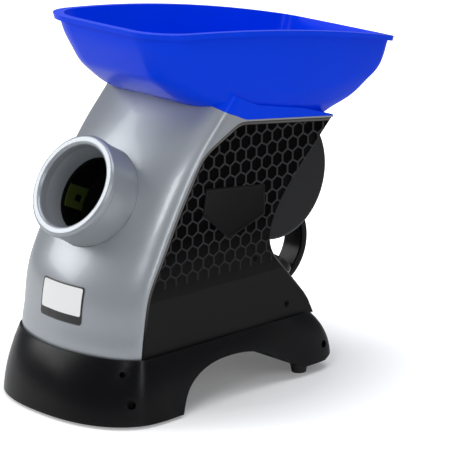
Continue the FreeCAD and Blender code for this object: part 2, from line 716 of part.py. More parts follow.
def side_panel(label, side):
    # One panel: outline padded to its thickness, with a bevelled outer edge.
    body = doc.addObject("PartDesign::Body", label)
    outline = new_sketch(body, label + "_outline", "YZ_Plane")
    for edge in panel_outline(0.0):
        start, end = edge.Vertexes[0].Point, edge.Vertexes[-1].Point
        if edge.Curve.TypeId == "Part::GeomLine":
            outline.addGeometry(Part.LineSegment(Vector(start.y, start.z, 0),
                                                 Vector(end.y, end.z, 0)), False)
        else:
            line = edge.Curve.copy()
            poles = [Vector(pole.y, pole.z, 0) for pole in line.getPoles()]
            flat = Part.BSplineCurve()
            flat.buildFromPolesMultsKnots(poles, line.getMultiplicities(),
                                          line.getKnots(), False, line.Degree)
            outline.addGeometry(flat, False)
    pad = body.newObject("PartDesign::Pad", label + "_pad")
    pad.Profile = outline
    pad.setExpression("Length", "Sizes.panel_thickness")
    doc.recompute()
    outer = size("panel_thickness") if side > 0 else 0.0
    names = []
    for number, edge in enumerate(pad.Shape.Edges, start=1):
        box_of = edge.BoundBox
        on_face = abs(box_of.XMin - outer) < 1e-4 and abs(box_of.XMax - outer) < 1e-4
        middle = edge.CenterOfMass
        upper = middle.z > 180 and middle.y < 60 or middle.y < -60 and middle.z > 90
        if on_face and upper:
            names.append("Edge%d" % number)
    bevel = body.newObject("PartDesign::Chamfer", label + "_bevel")
    bevel.Base = (pad, names)
    bevel.setExpression("Size", "Sizes.panel_bevel")
    body.Tip = bevel
    place = "Sizes.shell_half_width - Sizes.panel_proud"
    if side > 0:
        body.setExpression("Placement.Base.x", place + " - Sizes.panel_thickness")
    else:
        body.setExpression("Placement.Base.x", "-(" + place + ")")
    return body


drills = []
for y, z in panel_spots:
    drills.append(rod("PanelDrill", "1.8", "400", ("-200", str(y), str(z)), "x"))
    drills.append(rod("PanelSink", "Sizes.screw_head + 0.3", "20",
                      ("Sizes.shell_half_width - 1.9", str(y), str(z)), "x"))
    drills.append(rod("PanelSinkLeft", "Sizes.screw_head + 0.3", "20",
                      ("-Sizes.shell_half_width - 18.1", str(y), str(z)), "x"))
panel_drills = fuse("PanelDrills", *drills)
for side, label in ((1, "right_side_panel"), (-1, "left_side_panel")):
    panel = side_panel(label + "_body", side)
    sub_part(cut(label + "_cut", panel, panel_drills), label)
panel_screw_set = []
for y, z in panel_spots:
    head = Part.makeCylinder(size("screw_head"), 1.5,
                             Vector(half - 1.9, y, z), Vector(1, 0, 0))
    shank = Part.makeCylinder(1.5, 3.8, Vector(side_inner + 0.2, y, z),
                              Vector(1, 0, 0))
    cross = Part.makeBox(2, 0.8, 3.6, Vector(half - 1.2, y - 0.4, z - 1.8))
    cross = cross.fuse(Part.makeBox(2, 3.6, 0.8,
                                    Vector(half - 1.2, y - 1.8, z - 0.4)))
    screw = head.fuse(shank).cut(cross)
    panel_screw_set = panel_screw_set + [screw, mirrored(screw)]
feature("panel_screws", Part.makeCompound(panel_screw_set))


# --------------------------------------------------------------------- barrel

def add_lines(sketch, points):
    # Closed chain of straight lines in the plane of the sketch.
    corners = [Vector(x, y, 0) for x, y in points]
    for start, end in zip(corners, corners[1:] + corners[:1]):
        sketch.addGeometry(Part.LineSegment(start, end), False)


def turned_body(label, points, radii=()):
    # Body of revolution about z from (radius, z) corners.
    body = doc.addObject("PartDesign::Body", label)
    profile = new_sketch(body, label + "_profile", "XZ_Plane")
    add_lines(profile, points)
    turn = body.newObject("PartDesign::Revolution", label + "_turn")
    turn.Profile = profile
    turn.ReferenceAxis = (profile, ["V_Axis"])
    turn.Angle = 360
    body.Tip = turn
    doc.recompute()
    return body, turn


def round_rims(body, base, spots, radius, name):
    # Rounds the circular edges at given (radius, z) places.
    names = []
    for number, edge in enumerate(base.Shape.Edges, start=1):
        if edge.Curve.TypeId != "Part::GeomCircle":
            continue
        for at_radius, z in spots:
            near = abs(edge.Curve.Radius - at_radius) < 1e-3
            if near and abs(edge.Curve.Center.z - z) < 1e-3:
                names.append("Edge%d" % number)
    fillet = body.newObject("PartDesign::Fillet", name)
    fillet.Base = (base, names)
    fillet.Radius = radius
    body.Tip = fillet
    return fillet


bead, bore = size("muzzle_radius"), size("muzzle_bore")
skin = size("barrel_radius")
socket = tube_outer + 0.1
barrel_end = size("barrel_length")
collar = size("collar_at")
barrel, barrel_turn = turned_body("Barrel", [
    (bore, 0), (bead, 0), (bead, 7.0), (skin, 8.2), (skin, collar),
    (size("collar_radius"), collar), (size("collar_radius"), collar + 2.5),
    (socket + 3.0, collar + 2.5), (socket + 3.0, barrel_end),
    (socket, barrel_end), (socket, size("tube_front")),
    (size("tube_bore") + 0.6, size("tube_front")),
    (size("tube_bore") + 0.6, 30.0), (bore, 10.0)])
round_rims(barrel, barrel_turn, [(bore, 0), (bead, 0)], 3.4, "BarrelBead")
on_launch_line(barrel)
sub_part(barrel, "launch_barrel")


# ---------------------------------------------------------------- launch tube

tube_front, tube_rear = size("tube_front"), size("tube_rear")
tube_skin = rod("TubeSkin", "Sizes.tube_bore + Sizes.tube_wall",
                "Sizes.tube_rear - Sizes.tube_front", ("0", "0", "Sizes.tube_front"))
tube_room = rod("TubeRoom", "Sizes.tube_bore",
                "Sizes.tube_rear - Sizes.tube_front + 20",
                ("0", "0", "Sizes.tube_front - 10"))
lug_slot = box("LugSlot", "19.5", "30", "Sizes.striker_stroke + 27",
               ("-8", "-(Sizes.tube_bore + 20)", "Sizes.striker_front - 7"))
gear_slot = box("GearSlot", "29", "30", "34",
                ("-8", "-(Sizes.tube_bore + 20)", "Sizes.striker_front + 11"))
tube_blank = cut("TubeBlank", tube_skin, fuse("TubeCuts", tube_room, lug_slot,
                                              gear_slot))
doc.recompute()
rest = line_point(size("ball_rest"))
chute_top_z = size("port_floor") - size("floor_wall")
chute_head = Vector(0, size("port_y"), chute_top_z)
chute_way = (rest - chute_head).normalize()
chute_length = (rest - chute_head).Length
feed_bore = Part.makeCylinder(size("chute_bore"), chute_length + 30,
                              chute_head - chute_way * 30, chute_way)
turn_back = FreeCAD.Placement(mouth, FreeCAD.Rotation(Vector(1, 0, 0),
                                                      -(90 + size("launch_tilt"))))
tube_local = tube_blank.Shape.copy()
feed_local = feed_bore.copy()
feed_local.Placement = turn_back.inverse().multiply(feed_local.Placement)
tube = feature("launch_tube", tube_local.cut(feed_local))
tube.Placement = turn_back

chute = Part.makeCylinder(size("chute_bore") + size("chute_wall"),
                          chute_length + 30, chute_head - chute_way * 30,
                          chute_way)
around_tube = Part.makeCylinder(tube_outer + 0.1, 260, line_point(20), line_way)
above_tube = side_polygon([(-200, rest.z - 4), (200, rest.z - 4), (200, chute_top_z),
                           (-200, chute_top_z)])
chute = chute.cut(feed_bore).common(side_prism(above_tube, WIDE)).cut(around_tube)

# Ball sensor on the front of the chute: two ears carry the pin of a lever
# that dips into the chute, and a small switch sits beside one ear.
pivot_z = 234.0
drop = (chute_head.z - pivot_z) / (chute_head.z - rest.z)
chute_y = chute_head.y + (rest.y - chute_head.y) * drop
pivot = Vector(0, chute_y - size("chute_bore") - size("chute_wall") - 8.0, pivot_z)
lever_slot = Part.makeBox(10, 30, 44, Vector(-5, pivot.y - 2, pivot_z - 40))
chute = chute.cut(lever_slot)
for side in (-1, 1):
    ear = side_prism(side_polygon([
        (pivot.y - 4, pivot_z - 5), (pivot.y - 4, pivot_z + 5),
        (pivot.y + 14, pivot_z + 10), (pivot.y + 14, pivot_z - 12)]), 1.0)
    ear = moved(ear, side * 6.2)
    chute = chute.fuse(ear.cut(feed_bore))
chute = chute.cut(around_tube)
pin_hole = Part.makeCylinder(1.3, 30, pivot - Vector(15, 0, 0), Vector(1, 0, 0))
feature("feed_chute", chute.cut(pin_hole).removeSplitter())
pin = Part.makeCylinder(1.25, 15.0, pivot - Vector(7.5, 0, 0), Vector(1, 0, 0))
feature("sensor_pin", pin)
hub = Part.makeCylinder(3.2, 9.6, pivot - Vector(4.8, 0, 0), Vector(1, 0, 0))
leaf = side_prism(side_polygon([
    (pivot.y - 2.0, pivot_z), (pivot.y + 2.0, pivot_z + 1.5),
    (pivot.y + 17.3, pivot_z - 24.3), (pivot.y + 13.8, pivot_z - 26.2)]), 3.6)
lever = hub.fuse(leaf)
lever = lever.cut(Part.makeCylinder(1.3, 30, pivot - Vector(15, 0, 0),
                                    Vector(1, 0, 0)))
feature("ball_sensor_lever", lever.removeSplitter())
sensor = box("SensorBody", "6", "12", "14",
             ("7.6", str(round(pivot.y - 5.0, 3)), str(pivot_z + 2.0)))
sub_part(sensor, "ball_sensor_switch")


# --------------------------------------------------------------------- hopper

def bowl_section(z, front_y, rear_y, half, corner, rear_corner, inset):
    # Outline of the hopper at one height: bowed front, full sides that are
    # widest behind the front corners, and a narrower rear.
    half, front_y, rear_y = half - inset, front_y + inset * 1.2, rear_y - inset * 1.2
    length = rear_y - front_y
    front_half = half - 3.7
    rear_half = half - min(13.8, 0.043 * length)
    wide_y = front_y + 0.52 * length
    bend = 1 - math.sqrt(0.5)
    right = [Vector(front_half - corner, front_y + 0.6, z),
             Vector(front_half - bend * corner, front_y + bend * corner, z),
             Vector(front_half + 0.6, front_y + corner, z),
             Vector(half, wide_y, z),
             Vector(rear_half + 0.8, rear_y - rear_corner, z),
             Vector(rear_half - bend * rear_corner, rear_y - 3 - bend * rear_corner, z),
             Vector(rear_half - rear_corner, rear_y - 3.4, z)]
    left = [Vector(-point.x, point.y, z) for point in right]
    front_mid = Vector(0, front_y, z)
    rear_mid = Vector(0, rear_y, z)
    return Part.Wire([
        Part.Arc(left[0], front_mid, right[0]).toShape(),
        Part.Arc(right[0], right[1], right[2]).toShape(),
        Part.Arc(right[2], right[3], right[4]).toShape(),
        Part.Arc(right[4], right[5], right[6]).toShape(),
        Part.Arc(right[6], rear_mid, left[6]).toShape(),
        Part.Arc(left[6], left[5], left[4]).toShape(),
        Part.Arc(left[4], left[3], left[2]).toShape(),
        Part.Arc(left[2], left[1], left[0]).toShape()])


def bowl_block(inset, lift=0.0):
    # The hopper narrows downwards: its front and rear walls sweep in under it.
    rim_front, rim_rear = size("rim_front_y"), size("rim_rear_y")
    top, low = size("rim_front_z"), size("port_floor") - 18
    span, wide = top - low, size("rim_half_width")
    steps = [(0.0, 84.0, -101.0, -14.5, 26, 22), (0.1, 77.8, -80.7, -10.5, 28, 22),
             (0.167, 71.8, -56.7, -8.0, 30, 22), (0.233, 80.0, -37.7, -6.2, 32, 22),
             (0.325, 71.0, -20.0, -4.0, 34, 22), (0.4, 53.8, -8.8, -3.2, 36, 20),
             (0.467, 42.3, -5.2, -2.6, 38, 18), (0.567, 27.9, -1.7, -1.8, 40, 16),
             (0.675, 18.4, 1.2, -1.2, 40, 14), (0.783, 10.9, 2.2, -0.6, 40, 13),
             (0.908, 4.2, 3.2, -0.2, 40, 12), (1.05, -1.8, 4.6, 0.3, 40, 12)]
    wires = [bowl_section(low + span * rise + lift, rim_front + ahead,
                          rim_rear + behind, wide + out, corner, rear_corner, inset)
             for rise, ahead, behind, out, corner, rear_corner in steps]
    return Part.makeLoft(wires, True, False)


def rim_block(drop):
    # Space above the rim, which falls in one long curve to the rear.
    start = Vector(0, size("rim_front_y"), size("rim_front_z") - drop)
    middle = Vector(0, 46.6, size("rim_middle_z") - drop)
    end = Vector(0, size("rim_rear_y") + 4, size("rim_rear_z") - drop)
    bow = Part.Arc(start, middle, end).toShape()
    before, after = start + Vector(0, -30, 3.0), end + Vector(0, 30, -7.0)
    top_front, top_rear = Vector(0, before.y, 450), Vector(0, after.y, 450)
    return side_prism([Part.makeLine(before, start), bow,
                       Part.makeLine(end, after), Part.makeLine(after, top_rear),
                       Part.makeLine(top_rear, top_front),
                       Part.makeLine(top_front, before)], WIDE)


above_rim, above_flange = rim_block(0.0), rim_block(size("flange_height"))
bowl = bowl_block(0.0).cut(above_rim)
flange = bowl_block(-size("flange_reach")).common(above_flange).cut(above_rim)
neck_lid = side_prism(side_polygon([
    (-260, 200), (-260, 345), (-72, 313), (-39, 292), (-17, 281.5), (-3, 275),
    (60, 261.5), (size("tail_y") + 4, size("tail_z") + 2), (260, 240), (260, 200)]),
    WIDE)
neck = shell_outer.common(neck_lid).cut(under_seam)
neck = neck.common(body_region(0.0, 60.0, WIDE))
seam_gap = size("seam_gap")
seat = body_block(-seam_gap, -seam_gap, deck_top, shell_high).common(under_seam)
hopper = bowl.fuse(flange).cut(seat).fuse(neck)
floor_z, port_y = size("port_floor"), size("port_y")
port_rear = port_y + size("chute_bore")


def floor_edges(drop):
    # Hopper floor in side view: level at the port, rising to the rear.
    return [Vector(0, -260, floor_z - drop), Vector(0, port_rear, floor_z - drop),
            Vector(0, 140, floor_z + 10 - drop), Vector(0, 300, floor_z + 24 - drop)]


def floor_prism(drop, height):
    line = floor_edges(drop)
    corners = [(point.y, point.z) for point in line]
    corners = corners + [(300, height), (-260, height)]
    return side_prism(side_polygon(corners), WIDE)


basin = bowl_block(size("hopper_wall"), 3.2).common(floor_prism(0.0, 460))
tub_side = half - side_inner + 0.4
tub_front = size("shell_wall") + 0.9
tub_wall = 2.2
tub = body_block(tub_side, tub_front, deck_top, shell_high)
tub = tub.common(floor_prism(size("floor_wall"), 460)).common(moved(under_seam, z=2))
tub = tub.common(body_region(size("shell_wall") + 0.8, 60.0, WIDE))
throat = body_block(tub_side + tub_wall, tub_front + tub_wall, deck_top, shell_high)
throat = throat.common(floor_prism(0.0, size("shell_top") - 1.0)).common(
    body_region(size("shell_wall") + 3.0, 60.0, WIDE))
port = Part.makeCylinder(size("chute_bore"), 40,
                         chute_head - chute_way * 12, chute_way)
hopper = hopper.fuse(tub).cut(basin).cut(throat).cut(port)
tab_x = size("drum_half_width") + 8.0
for side in (-1, 1):
    for y in (7.0, 45.0):
        hopper = hopper.cut(Part.makeCylinder(1.6, 9.0, Vector(side * tab_x, y,
                                                               chute_top_z - 6.8)))
feature("hopper", hopper.removeSplitter())


# ---------------------------------------------------------------- rear covers

cover_gap = 0.2
plate = size("plate_thickness")
cover_inner = size("drum_half_width") + plate + cover_gap
region_out = body_region(0.0, -0.6, side_inner - 0.25)
region_in = body_region(size("shell_wall") + 0.1, 60.0, WIDE)
rear_part = side_polygon([(-5, 40), (160, 40), (160, 300), (40, 300), (-5, 170)])
cover_ring = region_out.cut(region_in).common(side_prism(rear_part, WIDE))
cover_ring = cover_ring.common(Part.makeBox(
    side_inner - cover_inner, 400, 400, Vector(cover_inner, -200, deck_top)))
slope_top = Vector(0, size("slope_top_y"), size("slope_top_z"))
slope_end = Vector(0, size("slope_end_y"), size("slope_end_z"))
slope_mid = (slope_top + slope_end) * 0.5
slope_turn = -math.degrees(math.atan2(slope_end.z - slope_top.z,
                                      slope_end.y - slope_top.y)) - 0.0
slope_spin = FreeCAD.Rotation(Vector(1, 0, 0), -slope_turn)


def on_slope(shape, x, along=0.0):
    # Puts a piece drawn on the XY plane on the flat rear slope of the body.
    copy = shape.copy()
    spot = slope_mid + (slope_end - slope_top).normalize() * along
    copy.Placement = FreeCAD.Placement(Vector(x, spot.y, spot.z), slope_spin)
    return copy


switch_hole = on_slope(Part.makeBox(19.0, 25.0, 40, Vector(-9.5, -12.5, -20)),
                       -size("control_x"), -6)
jack_hole = on_slope(Part.makeCylinder(4.7, 40, Vector(0, 0, -20)),
                     -size("control_x"), 19)
dial_hole = on_slope(Part.makeCylinder(4.7, 40, Vector(0, 0, -20)),
                     size("control_x"))
feature("rear_cover_right", cover_ring.cut(dial_hole).removeSplitter())
feature("rear_cover_left",
        mirrored(cover_ring).cut(switch_hole).cut(jack_hole).removeSplitter())


# ------------------------------------------------------------- chassis plates

plate_region = body_region(size("shell_wall") + 0.4, -4.0, WIDE)
plate_limits = Part.makeBox(plate, 150, chute_top_z - deck_top,
                            Vector(size("drum_half_width"), -52, deck_top))
plate_shape = plate_region.common(plate_limits)
tab = Part.makeBox(13, 14, plate)
top_tabs, low_tabs = [], []
for y in (0.0, 38.0):
    top_tabs.append(moved(tab, size("drum_half_width"), y, chute_top_z - plate))
for y in (-44.0, 40.0):
    low_tabs.append(moved(tab, size("drum_half_width"), y, deck_top))
under_tabs = side_polygon([(0, 0), (14, 0), (14, 14)])
for item in top_tabs + low_tabs:
    plate_shape = plate_shape.fuse(item)
for y in (0.0, 38.0):
    drill = Part.makeCylinder(1.6, 12, Vector(tab_x, y + 7, chute_top_z - 9))
    plate_shape = plate_shape.cut(drill)
window = Part.makeCylinder(22, 20, Vector(30, -26, 92), Vector(1, 0, 0))
plate_shape = plate_shape.cut(window)
feature("chassis_plate_right", plate_shape.removeSplitter())
feature("chassis_plate_left", mirrored(plate_shape).removeSplitter())


# ---------------------------------------------------- striker and its spring

stroke = size("striker_stroke")
strike = size("striker_front")
skirt = size("tube_bore") - size("striker_gap")
striker = doc.addObject("PartDesign::Body", "Striker")
profile = new_sketch(striker, "StrikerProfile", "XZ_Plane")
add_lines(profile, [(0, strike + 2.0), (14.0, strike + 2.0), (24.0, strike),
                    (skirt, strike), (skirt, strike + size("striker_length")),
                    (skirt - 4.0, strike + size("striker_length")),
                    (skirt - 4.0, strike + size("head_thickness")),
                    (0, strike + size("head_thickness"))])
striker_turn = striker.newObject("PartDesign::Revolution", "StrikerTurn")
striker_turn.Profile = profile
striker_turn.ReferenceAxis = (profile, ["V_Axis"])
striker_turn.Angle = 360
striker.Tip = striker_turn
doc.recompute()
notch = box("StrikerNotch", "21.5", "20.5", "Sizes.striker_length + 2",
            ("-9", "-40.5", "Sizes.striker_front - 1"))
striker_cut = cut("StrikerCut", striker, notch)
lug = box("StrikerLug", "5.0", "Sizes.lug_top - 19.4", "13",
          ("-11.4", "-Sizes.lug_top", "Sizes.striker_front + 5"))
striker_whole = fuse("StrikerWhole", striker_cut, lug)
on_launch_line(striker_whole)
sub_part(striker_whole, "striker")

cap_face = tube_rear
spring_start = strike + size("head_thickness") + 0.1
spring_length = cap_face - spring_start - 0.2
wire_size = size("spring_wire")
turns = 7
helix = Part.makeHelix((spring_length - wire_size) / turns,
                       spring_length - wire_size, size("spring_radius"))
wire_corners = []
for number in range(8):
    angle = math.radians(45.0 * number)
    wire_corners.append((size("spring_radius") + wire_size / 2 * math.cos(angle), 0,
                         wire_size / 2 * math.sin(angle)))
wire_outline = polyline(wire_corners)
spring = Part.Wire(helix.Edges).makePipeShell([wire_outline], True, True)
spring = moved(spring, 0, 0, spring_start + wire_size / 2)
spring_part = feature("launch_spring", spring)
spring_part.Placement = turn_back.multiply(spring.Placement)

cap = rod("TubeCapDisc", "Sizes.tube_bore + Sizes.tube_wall", "Sizes.cap_thickness",
          ("0", "0", "Sizes.tube_rear"))
cap_ring = rod("TubeCapRing", "Sizes.spring_radius - 3", "8",
               ("0", "0", "Sizes.tube_rear - 7"))
cap_hole = rod("TubeCapHole", "Sizes.spring_radius - 6", "20",
               ("0", "0", "Sizes.tube_rear - 10"))
cap_whole = cut("TubeCapCut", fuse("TubeCapSolid", cap, cap_ring), cap_hole)
on_launch_line(cap_whole)
sub_part(cap_whole, "tube_cap")

stop_outer = rod("StopOuter", "Sizes.tube_bore", "3.6",
                 ("0", "0", "Sizes.striker_front - 3.8"))
stop_inner = rod("StopInner", "Sizes.tube_bore - 2.2", "10",
                 ("0", "0", "Sizes.striker_front - 7"))
stop_gap = box("StopGap", "29", "40", "10",
               ("-8", "-60", "Sizes.striker_front - 7"))
stop_ring = cut("StopRing", stop_outer, fuse("StopTools", stop_inner, stop_gap))
on_launch_line(stop_ring)
sub_part(stop_ring, "stop_ring")


# --------------------------------------------------------- gears, crank, motor

drum = Vector(0, size("drum_y"), size("drum_z"))
slow_reach = size("drive_module") * (size("drive_teeth") + size("small_teeth")) / 2
fast_reach = size("motor_module") * (size("large_teeth") + size("pinion_teeth")) / 2


def at_bearing(degrees, reach):
    angle = math.radians(degrees)
    return drum + Vector(0, math.cos(angle), math.sin(angle)) * reach


crank_axis = at_bearing(size("crank_bearing"), slow_reach)
motor_axis = at_bearing(size("motor_bearing"), fast_reach)


def gear(module, teeth, start_x, width, bore, towards, gap_first):
    # Spur gear about x at the origin: one tooth, or one gap, points along the
    # bearing given in degrees.
    teeth = int(teeth)
    pitch = module * teeth / 2.0
    root, tip = pitch - 1.25 * module, pitch + 0.85 * module
    thick = math.pi * module / 2.0
    wheel = Part.makeCylinder(root, width, Vector(start_x, 0, 0), Vector(1, 0, 0))
    flanks = [(root - 0.3, 0.50), (root + 0.25 * module, 0.48),
              (pitch, 0.40), (tip, 0.20)]
    corners = [(radius, -half_tooth * thick) for radius, half_tooth in flanks]
    corners += [(radius, half_tooth * thick) for radius, half_tooth in flanks[::-1]]
    tooth = Part.Face(polyline([(start_x, a, b) for a, b in corners]))
    tooth = tooth.extrude(Vector(width, 0, 0))
    step = 360.0 / teeth
    first = towards + (step / 2.0 if gap_first else 0.0)
    ring = []
    for number in range(teeth):
        copy = tooth.copy()
        copy.rotate(Vector(0, 0, 0), Vector(1, 0, 0), first + number * step)
        ring.append(copy)
    wheel = wheel.fuse(ring)
    hole = Part.makeCylinder(bore, width + 4, Vector(start_x - 2, 0, 0),
                             Vector(1, 0, 0))
    return wheel.cut(hole).removeSplitter()


def placed(label, shape, spot):
    thing = feature(label, shape)
    move = FreeCAD.Placement(spot, FreeCAD.Rotation())
    thing.Placement = move.multiply(shape.Placement)
    return thing


crank_face, arm_face = 11.0, 6.0
shaft = size("crank_shaft_radius")
idler = size("idler_shaft_radius")
drive_width, fast_width = 8.0, 6.0
slow_bearing = size("crank_bearing")
drive = gear(size("drive_module"), size("drive_teeth"), crank_face, drive_width,
             shaft, slow_bearing - 180, False)
for number in range(5):
    angle = math.radians(slow_bearing + 72 * number)
    spot = Vector(crank_face - 1, 14.5 * math.cos(angle), 14.5 * math.sin(angle))
    drive = drive.cut(Part.makeCylinder(5.2, 12, spot, Vector(1, 0, 0)))
placed("crank_gear", drive, crank_axis)
shaft_half = size("drum_half_width") - size("housing_wall") - 0.6
placed("crank_shaft", Part.makeCylinder(shaft, 2 * shaft_half,
                                        Vector(-shaft_half, 0, 0),
                                        Vector(1, 0, 0)), crank_axis)
crank_rest = math.degrees(math.atan2(line_up.z, line_up.y)) + 180 + 45
rest_angle = math.radians(crank_rest)
throw = size("crank_throw")
pin_at = Vector(0, throw * math.cos(rest_angle), throw * math.sin(rest_angle))
arm_bar = Part.makeBox(4, throw, 12, Vector(arm_face + 0.5, 0, -6))
arm_bar.rotate(Vector(0, 0, 0), Vector(1, 0, 0), crank_rest)
arm = arm_bar.fuse(Part.makeCylinder(8, 4, Vector(arm_face + 0.5, 0, 0),
                                     Vector(1, 0, 0)))
arm = arm.fuse(Part.makeCylinder(6, 4, pin_at + Vector(arm_face + 0.5, 0, 0),
                                 Vector(1, 0, 0)))
arm = arm.fuse(Part.makeCylinder(2, 13, pin_at + Vector(-arm_face, 0, 0),
                                 Vector(1, 0, 0)))
arm = arm.cut(Part.makeCylinder(shaft, 12, Vector(0, 0, 0), Vector(1, 0, 0)))
placed("crank_arm", arm.removeSplitter(), crank_axis)
roller = Part.makeCylinder(size("roller_radius"), 2 * arm_face - 0.6,
                           pin_at - Vector(arm_face - 0.3, 0, 0), Vector(1, 0, 0))
roller = roller.cut(Part.makeCylinder(2, 30, pin_at - Vector(15, 0, 0),
                                      Vector(1, 0, 0)))
placed("crank_roller", roller, crank_axis)

small = gear(size("drive_module"), size("small_teeth"), crank_face, drive_width,
             idler + size("running_fit"), slow_bearing, True)
placed("intermediate_gear_small", small, drum)
large_face = crank_face + drive_width + 1.0
large = gear(size("motor_module"), size("large_teeth"), large_face, fast_width,
             idler + size("running_fit"), size("motor_bearing"), False)
hub = Part.makeCylinder(5.5, 1.0, Vector(large_face - 1.0, 0, 0), Vector(1, 0, 0))
hub = hub.cut(Part.makeCylinder(idler + size("running_fit"), 3,
                                Vector(large_face - 2.0, 0, 0), Vector(1, 0, 0)))
placed("intermediate_gear_large", large.fuse(hub).removeSplitter(), drum)
placed("intermediate_shaft",
       Part.makeCylinder(idler, shaft_half - 10.7, Vector(10.7, 0, 0),
                         Vector(1, 0, 0)), drum)
pinion = gear(size("motor_module"), size("pinion_teeth"), large_face, fast_width,
              1.5, size("motor_bearing") - 180, True)
placed("motor_pinion", pinion, motor_axis)

motor_r = size("motor_radius")
motor_back, motor_face = -32.0, 18.0
can = Part.makeCylinder(motor_r, motor_face - motor_back,
                        Vector(motor_back, 0, 0), Vector(1, 0, 0))
can = can.makeFillet(2.5, [edge for edge in can.Edges
                           if edge.Curve.TypeId == "Part::GeomCircle"])
can = can.fuse(Part.makeCylinder(5.0, 1.6, Vector(motor_face, 0, 0),
                                 Vector(1, 0, 0)))
can = can.fuse(Part.makeCylinder(4.0, 2.0, Vector(motor_back - 2.0, 0, 0),
                                 Vector(1, 0, 0)))
can = can.cut(Part.makeCylinder(1.6, 20, Vector(motor_face - 10, 0, 0),
                                Vector(1, 0, 0)))
placed("drive_motor", can, motor_axis)
placed("motor_shaft", Part.makeCylinder(1.5, large_face + fast_width - motor_face + 9,
                                        Vector(motor_face - 9, 0, 0),
                                        Vector(1, 0, 0)), motor_axis)
drum_bore = size("drum_radius") - size("housing_wall")
bracket = Part.makeBox(1.6, drum_bore - 2.2 - 14, 30, Vector(motor_face, 14, -15))
bracket.rotate(Vector(0, 0, 0), Vector(1, 0, 0), size("motor_bearing"))
bracket.translate(drum)
bracket = bracket.cut(Part.makeCylinder(5.1, 20,
                                        motor_axis + Vector(motor_face - 5, 0, 0),
                                        Vector(1, 0, 0)))
feature("motor_bracket", bracket)


# --------------------------------------------------------------- gear housing

housing_half = size("drum_half_width")
housing_wall = size("housing_wall")
drum_shell = Part.makeCylinder(size("drum_radius"), 2 * housing_half,
                               drum - Vector(housing_half, 0, 0), Vector(1, 0, 0))
rims = [edge for edge in drum_shell.Edges if edge.Curve.TypeId == "Part::GeomCircle"]
drum_shell = drum_shell.makeFillet(size("drum_fillet"), rims)
drum_room = Part.makeCylinder(drum_bore, 2 * (housing_half - housing_wall),
                              drum - Vector(housing_half - housing_wall, 0, 0),
                              Vector(1, 0, 0))
tail_end = tube_rear + size("cap_thickness") + 0.1
tail = Part.makeCylinder(tail_outer, tail_end + 2.5 - 168, line_point(168), line_way)
tail_room = Part.makeCylinder(tail_inner, tail_end - 160, line_point(160), line_way)
arm_reach = size("crank_throw") + 7.2
gear_reach = size("drive_module") * (size("drive_teeth") / 2.0 + 1) + 1.5
crank_room = Part.makeCylinder(arm_reach, 20.0, crank_axis - Vector(8, 0, 0),
                               Vector(1, 0, 0))
gear_room = Part.makeCylinder(gear_reach, 12.5, crank_axis + Vector(9, 0, 0),
                              Vector(1, 0, 0))
crank_skin = Part.makeCylinder(arm_reach + 2.2, 24.4, crank_axis - Vector(10.2, 0, 0),
                               Vector(1, 0, 0))
gear_skin = Part.makeCylinder(gear_reach + 2.2, 14.7, crank_axis + Vector(9, 0, 0),
                              Vector(1, 0, 0))
housing_outer = drum_shell.fuse([tail, crank_skin, gear_skin])
housing = housing_outer.cut(drum_room.fuse([tail_room, crank_room, gear_room]))
boss_depth = 8.0
for axis, radius, sides in ((crank_axis, 9.0, (-1, 1)), (drum, 7.5, (1,))):
    for side in sides:
        start = housing_half - housing_wall - boss_depth
        start = start if side > 0 else -housing_half + housing_wall
        boss = Part.makeCylinder(radius, boss_depth, axis + Vector(start, 0, 0),
                                 Vector(1, 0, 0))
        housing = housing.fuse(boss)
cup = Part.makeCylinder(motor_r + 2.6, 9.0,
                        motor_axis + Vector(-housing_half + housing_wall, 0, 0),
                        Vector(1, 0, 0))
cup = cup.cut(Part.makeCylinder(motor_r + 0.1, 20,
                                motor_axis + Vector(-housing_half + housing_wall, 0,
                                                    0), Vector(1, 0, 0)))
housing = housing.fuse(cup)
bush_radius = {"crank": shaft + 2.4, "idler": idler + 2.0}
bushes = []
for axis, radius, inner, sides in (
        (crank_axis, bush_radius["crank"], shaft + size("running_fit"), (-1, 1)),
        (drum, bush_radius["idler"], idler, (1,))):
    for side in sides:
        start = housing_half - housing_wall - boss_depth
        start = start if side > 0 else -housing_half + housing_wall
        hole = Part.makeCylinder(radius, boss_depth, axis + Vector(start, 0, 0),
                                 Vector(1, 0, 0))
        housing = housing.cut(hole)
        bush = hole.cut(Part.makeCylinder(inner, 100, axis - Vector(50, 0, 0),
                                          Vector(1, 0, 0)))
        bushes.append(bush)
feature("bearing_bushes", Part.makeCompound(bushes))
chute_room = Part.makeCylinder(size("chute_bore") + size("chute_wall") + 0.6,
                               chute_length + 60, chute_head - chute_way * 50,
                               chute_way)
housing = housing.cut(chute_room)
for side, label in ((1, "gear_housing_right"), (-1, "gear_housing_left")):
    keep = Part.makeBox(100, 600, 500, Vector(0 if side > 0 else -100, -300, -50))
    feature(label, housing.common(keep).removeSplitter())


# --------------------------------------------------------------------- handle

